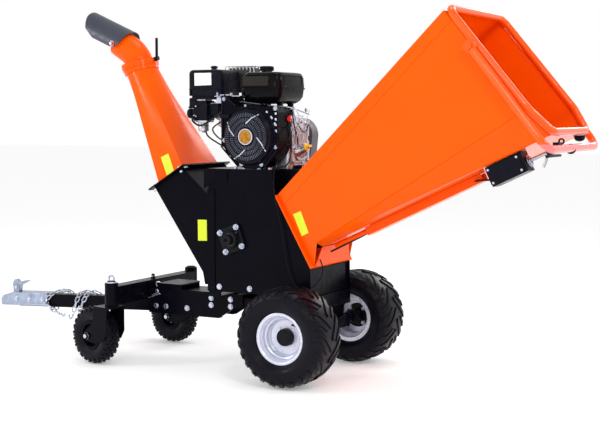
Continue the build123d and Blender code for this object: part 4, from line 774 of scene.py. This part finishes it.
def fuel_tank_shell():
    """The tank's two halves with their seam, its neck, feet, raised panels and blank plate."""
    low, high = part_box("fuel_tank")
    middle_x, middle_y = (low[0] + high[0]) / 2, (low[1] + high[1]) / 2
    shell = Shape()
    shell.rings([[(middle_x + (shift + x) * MM, middle_y + y * MM, z * MM)
                  for x, y in rounded(wide, deep, radius, 8)]
                 for z, wide, deep, radius, shift in TANK_LEVELS])
    for x in (40, 150):
        for y in (-50, 40):
            shell.slab(rounded(24, 16, 3), (x * MM, y * MM, 1.0772), RIGHT, FAR, 54)
    shell.turned([(0, 0.3), (0, 38), (4, 37), (8, 24), (12, 22), (12, 0.3)], (0.07, -0.02, 1.2505), UP, 48)
    shell.tube([(0.078 + x * MM, middle_y - 0.1195, 1.2195 + z * MM) for x, z in rounded(134, 50, 9, 6)],
        0.0016, 8, closed=True)
    shell.tube([(middle_x + 0.0925, middle_y + y * MM, 1.2195 + z * MM) for y, z in rounded(150, 48, 9, 6)],
        0.0014, 8, closed=True)
    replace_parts(shell.piece("fuel_tank_shell", "gloss", "black_paint", sharp=30), "fuel_tank")
    plate = Shape()
    plate.slab(rounded(122, 40, 5), (0.078, middle_y - 0.1190, 1.2195), RIGHT, UP, 1.6)
    plate.piece("tank_plate", "plate", "black_paint", bevel=0.4)


def engine_top():
    """Air cleaner seam and nut, the muffler's guard, and the fuel cap's ribs."""
    lid = Shape()
    lid.slab(rounded(172, 164, 22, 6), (-0.172, -0.05, 1.186), RIGHT, FAR, 4)
    lid.slab(rounded(166, 158, 20, 6), (-0.172, -0.05, 1.146), RIGHT, FAR, 6)
    for x in (-0.24, -0.104):
        lid.box((x, -0.132, 1.176), (10, 5, 26))
    for y in (-0.10, -0.03, 0.0):
        lid.box((-0.2565, y, 1.225), (3, 5, 60))
    lid.piece("air_cleaner_seam", "plastic", "black_plastic", bevel=1.5)
    nut = Shape()
    nut.turned([(0, 15), (3, 15), (6, 10), (16, 8), (18, 6), (18, 0.3)], (-0.172, -0.05, 1.270), UP, 24)
    nut.box((-0.172, -0.05, 1.282), (30, 5, 9), (1, 0.4, 0))
    nut.piece("air_cleaner_nut", "plastic", "black_plastic", bevel=0.8)
    low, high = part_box("muffler")
    guard = Shape()
    x0, x1, y0, y1, top = low[0] - 0.004, high[0] + 0.012, low[1] + 0.002, high[1] + 0.006, high[2] + 0.006
    for i in range(8):
        x = x0 + (x1 - x0) * (i + 0.5) / 8
        guard.box((x, (y0 + y1) / 2, top), (8, (y1 - y0) / MM, 1.5))
    for i in range(6):
        y = y0 + (y1 - y0) * i / 5
        guard.box(((x0 + x1) / 2, y, top), ((x1 - x0) / MM, 7, 1.6))
    for y in (y0, y1):
        for i in range(9):
            guard.box((x0 + (x1 - x0) * i / 8, y, top - 0.030), (6, 1.5, 60))
        guard.box(((x0 + x1) / 2, y, top - 0.058), ((x1 - x0) / MM, 1.6, 8))
    guard.piece("muffler_guard", "steel", "bolt_steel", bevel=0.4)
    grip = Shape()
    for turn in turns(20):
        way = Vector((cos(turn), sin(turn), 0))
        grip.box(Vector((0.07, -0.02, 1.2725)) + way * 0.0282, (3, 4.5, 15), way)
    grip.piece("fuel_cap_ribs", "plastic", "black_plastic", "fuel_cap", bevel=0.8)


FILM_SEARCH, FILM_GAP, FILM_TOP = 0.05, 0.0001, 0.0006


def film(name, look, node, corners, slot):
    """A thin film laid from the near side on a node's surface, between four corners in millimetres."""
    target = frame["nodes"][node]
    mesh, place = target.data, target.matrix_world
    tree = BVHTree.FromPolygons([place @ v.co for v in mesh.vertices],
        [tuple(p.vertices) for p in mesh.polygons])
    one, two, three, four = (Vector(c) * MM for c in corners)
    steps, out = 6, Vector(NEAR)
    base, lifted = [], []
    for j in range(steps + 1):
        left, right = one.lerp(four, j / steps), two.lerp(three, j / steps)
        for i in range(steps + 1):
            point = left.lerp(right, i / steps)
            hit = tree.ray_cast(point + out * FILM_SEARCH, -out)[0] or point
            base.append(hit + out * FILM_GAP)
            lifted.append(hit + out * FILM_TOP)
    wide, total = steps + 1, (steps + 1) ** 2
    faces = []
    for j in range(steps):
        for i in range(steps):
            a = j * wide + i
            faces.append((a, a + 1, a + wide + 1, a + wide))
            faces.append(tuple(total + k for k in (a, a + wide, a + wide + 1, a + 1)))
    rim = list(range(wide)) + [wide * j + steps for j in range(1, wide)]
    rim += [wide * steps + i for i in range(steps - 1, -1, -1)]
    rim += [wide * j for j in range(steps - 1, 0, -1)]
    faces += [(a, total + a, total + b, b) for a, b in zip(rim, rim[1:] + rim[:1])]
    sheet = Shape()
    sheet.add(base + lifted, faces)
    sheet.piece(name, look, slot)


def plates():
    """Plain film labels without lettering, where the machine carries its stickers."""
    film("chute_label", "label", "discharge_chute",
        [(-396, -131, 897), (-357, -131, 914), (-318, -143, 837), (-357, -143, 820)], "orange_paint")
    film("housing_label", "label", "discharge_transition",
        [(-183, -169, 638), (-138, -169, 639), (-137, -169, 550), (-182, -169, 549)], "black_paint")
    film("hopper_label", "label", "hopper_near_side",
        [(278, -169, 678), (315, -173, 693), (350, -170, 606), (316, -166, 590)], "orange_paint")
    film("air_cleaner_label", "white_label", "air_cleaner",
        [(-221, -130, 1256), (-137, -130, 1256), (-136, -130, 1205), (-220, -130, 1203)], "black_plastic")


# ---- hitch
DRAW_TILT = radians(2.5)
DRAW_START = Vector((-0.536, 0, 0.234))
DRAW_WAY = Vector((-cos(DRAW_TILT), 0, -sin(DRAW_TILT)))
DRAW_UP = Vector((-sin(DRAW_TILT), 0, cos(DRAW_TILT)))


def on_drawbar(along, y=0.0, up=0.0):
    """A point on the drawbar, in millimetres from the cross beam."""
    return DRAW_START + DRAW_WAY * (along * MM) + Vector((0, y * MM, 0)) + DRAW_UP * (up * MM)


def chain_link(shape, centre, along, side, length=34.0, width=23.0, wire=3.4):
    """One oval link whose long way is along and whose flat lies on side."""
    along = Vector(along).normalized()
    side = Vector(side)
    side = (side - along * side.dot(along)).normalized()
    points, reach, bend = [], (length - width) / 2 * MM, (width / 2 - wire) * MM
    for turn in turns(20):
        shift = reach if cos(turn) > 0 else -reach
        points.append(Vector(centre) + along * (cos(turn) * bend + shift) + side * (sin(turn) * bend))
    shape.tube(points, wire * MM, 8, closed=True)


def chain(shape, route, pitch=26.0):
    """Links along a route, each turned a quarter from the last."""
    path = smooth_path(route, 12)
    travelled, next_at, count = 0.0, 0.0, 0
    for one, two in zip(path, path[1:]):
        step = (two - one).length / MM
        while travelled + step >= next_at:
            share = (next_at - travelled) / max(step, 1e-6)
            way = (two - one).normalized()
            _, u, v = basis(way)
            turn = radians(45 + 90 * (count % 2))
            chain_link(shape, one + (two - one) * share, way, around(u, v, turn))
            next_at += pitch
            count += 1
        travelled += step


def on_route(points):
    return [on_drawbar(*point) for point in points]


PIVOT_X, PIVOT_Y = -0.536, 0.308


def hitch():
    """Safety chains with their hooks, the coupler's bolts, the yoke pin and the casters' pivot caps."""
    links = Shape()
    # One chain is wound slantwise behind the coupler, the other hangs folded beside the near caster.
    chain(links, on_route([(588, -41, -2), (570, -41, 16), (548, -36, 34), (524, -10, 43), (500, 18, 43),
        (486, 38, 26), (482, 42, -4)]))
    chain(links, on_route([(584, -42, -8), (566, -42, -26), (544, -42, -42), (520, -38, -56),
        (502, -34, -64)]))
    chain(links, on_route([(560, 40, 24), (568, 42, -6), (574, 30, -38), (578, 0, -42), (584, -30, -38)]))
    chain(links, on_route([(372, 34, 30), (374, 12, 42), (381, -14, 43), (387, -36, 34), (399, -41, 10),
        (411, -41, -12), (420, -42, -36), (426, -40, -60)]))
    chain(links, on_route([(328, 34, 28), (330, 10, 42), (337, -14, 43), (346, -36, 33), (360, -41, 10),
        (374, -41, -12), (386, -42, -34), (394, -40, -54)]))
    chain(links, on_route([(372, 40, 12), (376, 42, -12), (384, 36, -36), (396, 12, -42), (408, -16, -46)]))
    for route in ([(520, -22, 50), (506, -24, 52), (490, -22, 51), (476, -18, 47), (470, -10, 41)],
            [(506, -34, -60), (494, -36, -70), (484, -36, -66), (484, -34, -56)],
            [(426, -42, -56), (432, -44, -72), (442, -44, -80), (450, -44, -70), (448, -42, -60)]):
        links.curve(on_route(route), 0.0046, 12)
    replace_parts(links.piece("chain_links", "zinc", "zinc"), "safety_chains")
    trim = Shape()
    for along in (612, 690, 768):
        trim.hexagon(on_drawbar(along, -38, 4), NEAR, 10, 7)
        trim.disc(on_drawbar(along, -37.6, 4), NEAR, 13, 2.5, 24)
        trim.hexagon(on_drawbar(along, 38, 4), FAR, 10, 9)
    for y in (-1, 1):
        trim.box(on_drawbar(690, y * 38.2, -20), (190, 2.4, 5), DRAW_WAY, FAR)
        trim.box(on_drawbar(690, y * 38.2, 31), (190, 2.0, 4), DRAW_WAY, FAR)
        trim.disc(on_drawbar(790, y * 12.6, 56), (0, y, 0), 8, 3, 20)
    trim.piece("coupler_bolts", "zinc", "zinc", bevel=0.6)
    pin = Shape()
    ring = [Vector((-0.460 + 0.012 * cos(t), -0.066 + 0.003 * sin(2 * t), 0.331 + 0.013 * sin(t)))
        for t in turns(24)]
    pin.tube(ring, 0.0030, 8, closed=True)
    pin.disc((-0.460, -0.066, 0.3125), UP, 8, 8, 24, 1)
    pin.hexagon((-0.460, -0.0752, 0.304), NEAR, 9, 7)
    pin.curve([(-0.440, -0.080, 0.292), (-0.462, -0.082, 0.288), (-0.482, -0.083, 0.279),
        (-0.503, -0.083, 0.273)], 0.0022, 8)
    pin.curve([(-0.440, -0.080, 0.292), (-0.456, -0.082, 0.297), (-0.470, -0.083, 0.291),
        (-0.486, -0.083, 0.284)], 0.0020, 8)
    pin.piece("yoke_pin", "zinc", "bolt_steel")
    knob = Shape()
    knob.turned([(0, 11), (6, 11), (8, 7), (12, 6), (15, 8.5), (20, 7), (22, 0.3)],
        (PIVOT_X, 0, 0.347), UP, 24)
    knob.lathe([(0, 17.6), (0, 27), (3, 27), (5, 24), (5, 17.6)], (PIVOT_X, PIVOT_Y, 0.3622), UP, 40)
    knob.piece("beam_knob", "plastic", "black_plastic", bevel=0.4)
    cap = Shape()
    cap.lathe([(0, 17.6), (0, 24), (3, 24), (5, 22), (5, 17.6)], (PIVOT_X, -PIVOT_Y, 0.3622), UP, 40)
    cap.piece("pivot_collar", "silver", "bolt_steel", bevel=0.4)
    eye = Shape()
    eye.turned([(0, 14), (3, 14), (7, 11), (10, 6), (11, 0.3)], (PIVOT_X, -PIVOT_Y, 0.3640), UP, 32)
    ring = [Vector((PIVOT_X + 0.013 * cos(t), -PIVOT_Y, 0.380 + 0.013 * sin(t))) for t in turns(28)]
    eye.tube(ring, 0.0042, 10, closed=True)
    eye.piece("pivot_eye", "zinc", "bolt_steel")


# ---- discharge and hopper fittings
def deflector_fittings():
    """Nuts and washers on the deflector's hinge."""
    pivot = joint("deflector_tilt")[0]
    nuts = Shape()
    for side in (-1, 1):
        nuts.hexagon((pivot[0], side * 0.087, pivot[2]), (0, side, 0), 8.5, 7)
        nuts.disc((pivot[0], side * 0.0805, pivot[2]), (0, side, 0), 13, 2, 24)
    nuts.piece("deflector_nuts", "zinc", "bolt_steel", "elbow", bevel=0.5)


def collar_bolts():
    """Clamps that hold the elbow's collar."""
    centre, axis = joint("chute_swivel")
    _, u, v = basis(axis)
    bolts = Shape()
    for turn in turns(3, 100):
        out = around(u, v, turn)
        bolts.box(centre + out * 0.079 + axis * 0.022, (14, 26, 10), out, axis)
        bolts.hexagon(centre + out * 0.079 + axis * 0.027, axis, 6.5, 5)
    bolts.piece("collar_clamps", "orange", "orange_paint", "elbow", bevel=1.0)


ROD_EYE, ROD_Y, BAR_TUBE = 0.013, -0.150, 0.015


def rod_fittings():
    """Rubber boot on the stop rod, locknuts on its guide, and the bar's ring, stops, bumper and latch."""
    way = joint("stop_rod_slide")[1].normalized()
    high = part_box("safety_rod")[1]
    tip = Vector((high.x - ROD_EYE * way.z, ROD_Y, high.z - ROD_EYE * way.x))
    boot = Shape()
    boot.turned([(-32, 7.2), (-31.5, 11), (-29, 13.6), (-23, 14.4), (-17, 14.0), (-11, 15.0), (-3, 15.5),
        (1, 14), (2.5, 9), (2.8, 0.3)], tip, way, 32)
    boot.piece("rod_boot", "plastic", "black_plastic", "stop_rod")
    nuts = Shape()
    for back, radius in ((109, 21), (101.5, 19)):
        nuts.lathe([(0, 11), (0, radius - 1), (1, radius), (5, radius), (6, radius - 1), (6, 11)],
            tip - way * (back * MM), way, 6)
    nuts.lathe([(0, 11), (0, 25), (1.6, 25), (1.6, 11)], tip - way * 0.103, way, 40)
    nuts.piece("rod_locknuts", "zinc", "bolt_steel", bevel=0.4)
    bar_low, bar_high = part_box("safety_bar")
    centre = Vector((bar_high.x - BAR_TUBE, 0, bar_low.z + BAR_TUBE))
    tape = Shape()
    tape.lathe([(-5, 12.5), (-5, 18.5), (-3, 19.5), (3, 19.5), (5, 18.5), (5, 12.5)],
        centre + Vector((-0.0046, -0.02, 0)), FAR, 40)
    tape.box(centre + Vector((-0.010, -0.215, -0.0205)), (14, 150, 9), (1, 0, 0.2))
    tape.box(centre + Vector((-0.017, -0.150, 0.021)), (24, 34, 12), (1, 0, 0.4))
    tape.lathe([(0, 6), (0, 12), (7, 12), (7, 6)], centre + Vector((-0.012, -0.118, 0.030)),
        (0.5, -0.86, 0), 28)
    tape.piece("bar_fittings", "plastic", "black_plastic", "stop_bar", bevel=1.0)
    bumper = Shape()
    bumper.turned([(0, 0.3), (0, 22), (12, 21), (20, 15), (24, 0.3)],
        centre + Vector((-0.022, 0.150, 0.0475)), (0.1, 0, -1), 32)
    bumper.piece("bar_bumper", "plastic", "black_plastic")
    latch = Shape()
    latch.tube([centre + Vector(p) for p in ((-0.012, -0.280, -0.020), (-0.016, -0.284, -0.040),
        (-0.022, -0.288, -0.060))], [0.0050, 0.0055, 0.0050], 14)
    latch.piece("bar_latch_rod", "steel", "bolt_steel", "stop_bar")


FLOOR_WAY = Vector((0.9045851, 0, 0.4262931))


def switch_box_fittings():
    """The switch box's cover, screws and cable."""
    low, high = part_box("switch_box")
    way = FLOOR_WAY
    down = Vector((way.z, 0, -way.x))
    middle = Vector(((low.x + high.x) / 2 - 0.006, (low.y + high.y) / 2, (low.z + high.z) / 2 - 0.002))
    cover = Shape()
    cover.slab(rounded(140, 70, 8), middle + Vector((0, -0.0422, 0)), way, -down, 3)
    cover.piece("switch_box_cover", "plastic", "black_plastic", bevel=1.0)
    screws = Shape()
    for a in (-60, 60):
        for b in (-26, 26):
            place = middle + Vector((0, -0.0452, 0)) + way * (a * MM) + down * (b * MM)
            screws.disc(place, NEAR, 5, 3, 16, 1)
    screws.piece("switch_box_screws", "zinc", "bolt_steel")
    cable = Shape()
    cable.curve([middle - way * 0.074 + down * 0.01, middle - way * 0.11 + Vector((0, 0.02, 0.004)),
        middle - way * 0.16 + Vector((0, 0.055, 0.02)), middle - way * 0.21 + Vector((0, 0.084, 0.03))],
        0.004, 10)
    cable.curve([(0.396, -0.062, 0.522), (0.45, -0.066, 0.548), (0.53, -0.064, 0.588),
        (0.60, -0.062, 0.625)], 0.004, 10)
    cable.piece("switch_cable", "hose", "black_plastic")


DRUM = Vector((-0.004, 0.0, 0.564))
BEARING_TILT, BEARING_BOLT = radians(20), 41.5
BOLT_HOLES_HIGH = ((-70, 361), (78, 361))
BOLT_HOLES_LOW = ((-178, 292), (-178, 261), (-80, 292), (-80, 261), (-467, 238), (-415, 238), (-303, 238))


def body_fittings():
    """Bearing faces and grease nipples, the shaft's sleeve, and washers and nuts on housing and frame."""
    bearing = Shape()
    for side in (-1, 1):
        face = side * 0.206
        bearing.lathe([(0, 15.5), (0, 27), (3, 27), (3, 15.5)], (DRUM.x, face, DRUM.z), (0, side, 0), 40)
        bearing.disc((0.022, side * 0.196, 0.590), (0.5, side * 0.7, 0.5), 3.5, 12, 12, 1)
    bearing.piece("bearing_faces", "dark_alloy", "cast_black", bevel=0.4)
    end = Shape()
    end.lathe([(0, 22.1), (0, 22.9), (25, 22.9), (26.6, 21), (26.9, 9), (25.5, 6), (25.5, 0.3), (24.8, 0.3),
        (24.8, 22.1)], (DRUM.x, -0.2095, DRUM.z), NEAR, 48)
    end.box((DRUM.x, -0.2220, DRUM.z + 0.0229), (7, 18, 1.4))
    end.piece("shaft_sleeve", "cast", "cast_black", "rotor")
    nuts = Shape()
    across, up = (in_side_view(BEARING_TILT + quarter) for quarter in (0, pi / 2))
    for a in (-BEARING_BOLT, BEARING_BOLT):
        for b in (-BEARING_BOLT, BEARING_BOLT):
            place = DRUM + (across * a + up * b) * MM
            nuts.disc(place + Vector((0, -0.1932, 0)), NEAR, 12.5, 2, 24)
            nuts.disc(place + Vector((0, -0.2032, 0)), NEAR, 5, 7, 16, 1)
            nuts.hexagon(place + Vector((0, 0.1932, 0)), FAR, 10.5, 10)
    flange, run = Vector((-0.405, 0, 0.766)), Vector((0.148, 0, 0.091))
    down = Vector((0.091, 0, -0.148)).normalized()
    for share in (0.04, 0.94):
        for y in (-0.178, 0.178):
            place = flange + run * share + Vector((0, y, 0))
            nuts.hexagon(place + down * 0.009, down, 8.5, 9)
            nuts.hexagon(place - down * 0.006, -down, 8.5, 6)
    for x in (-0.24, 0.05, 0.12):
        nuts.bolt((x, -0.172, 0.8572), UP, 8.5, 7, 11, 1.6)
    for x, z in BOLT_HOLES_HIGH:
        nuts.disc((x * MM, -0.1802, z * MM), NEAR, 12.5, 1.6, 24)
    for x, z in BOLT_HOLES_LOW:
        nuts.disc((x * MM, -0.0752, z * MM), NEAR, 12.5, 1.6, 24)
        nuts.hexagon((x * MM, 0.0752, z * MM), FAR, 9.5, 8)
    nuts.piece("washers_and_nuts", "zinc", "bolt_steel", bevel=0.4)


make_camera()
make_studio()
paint_nodes()
for name, side in (("near", -1), ("far", 1)):
    main_wheel(name, side)
    caster_wheel(name)
engine_front()
engine_side()
engine_left()
fuel_tank_shell()
engine_top()
plates()
hitch()
deflector_fittings()
collar_bolts()
rod_fittings()
switch_box_fittings()
body_fittings()
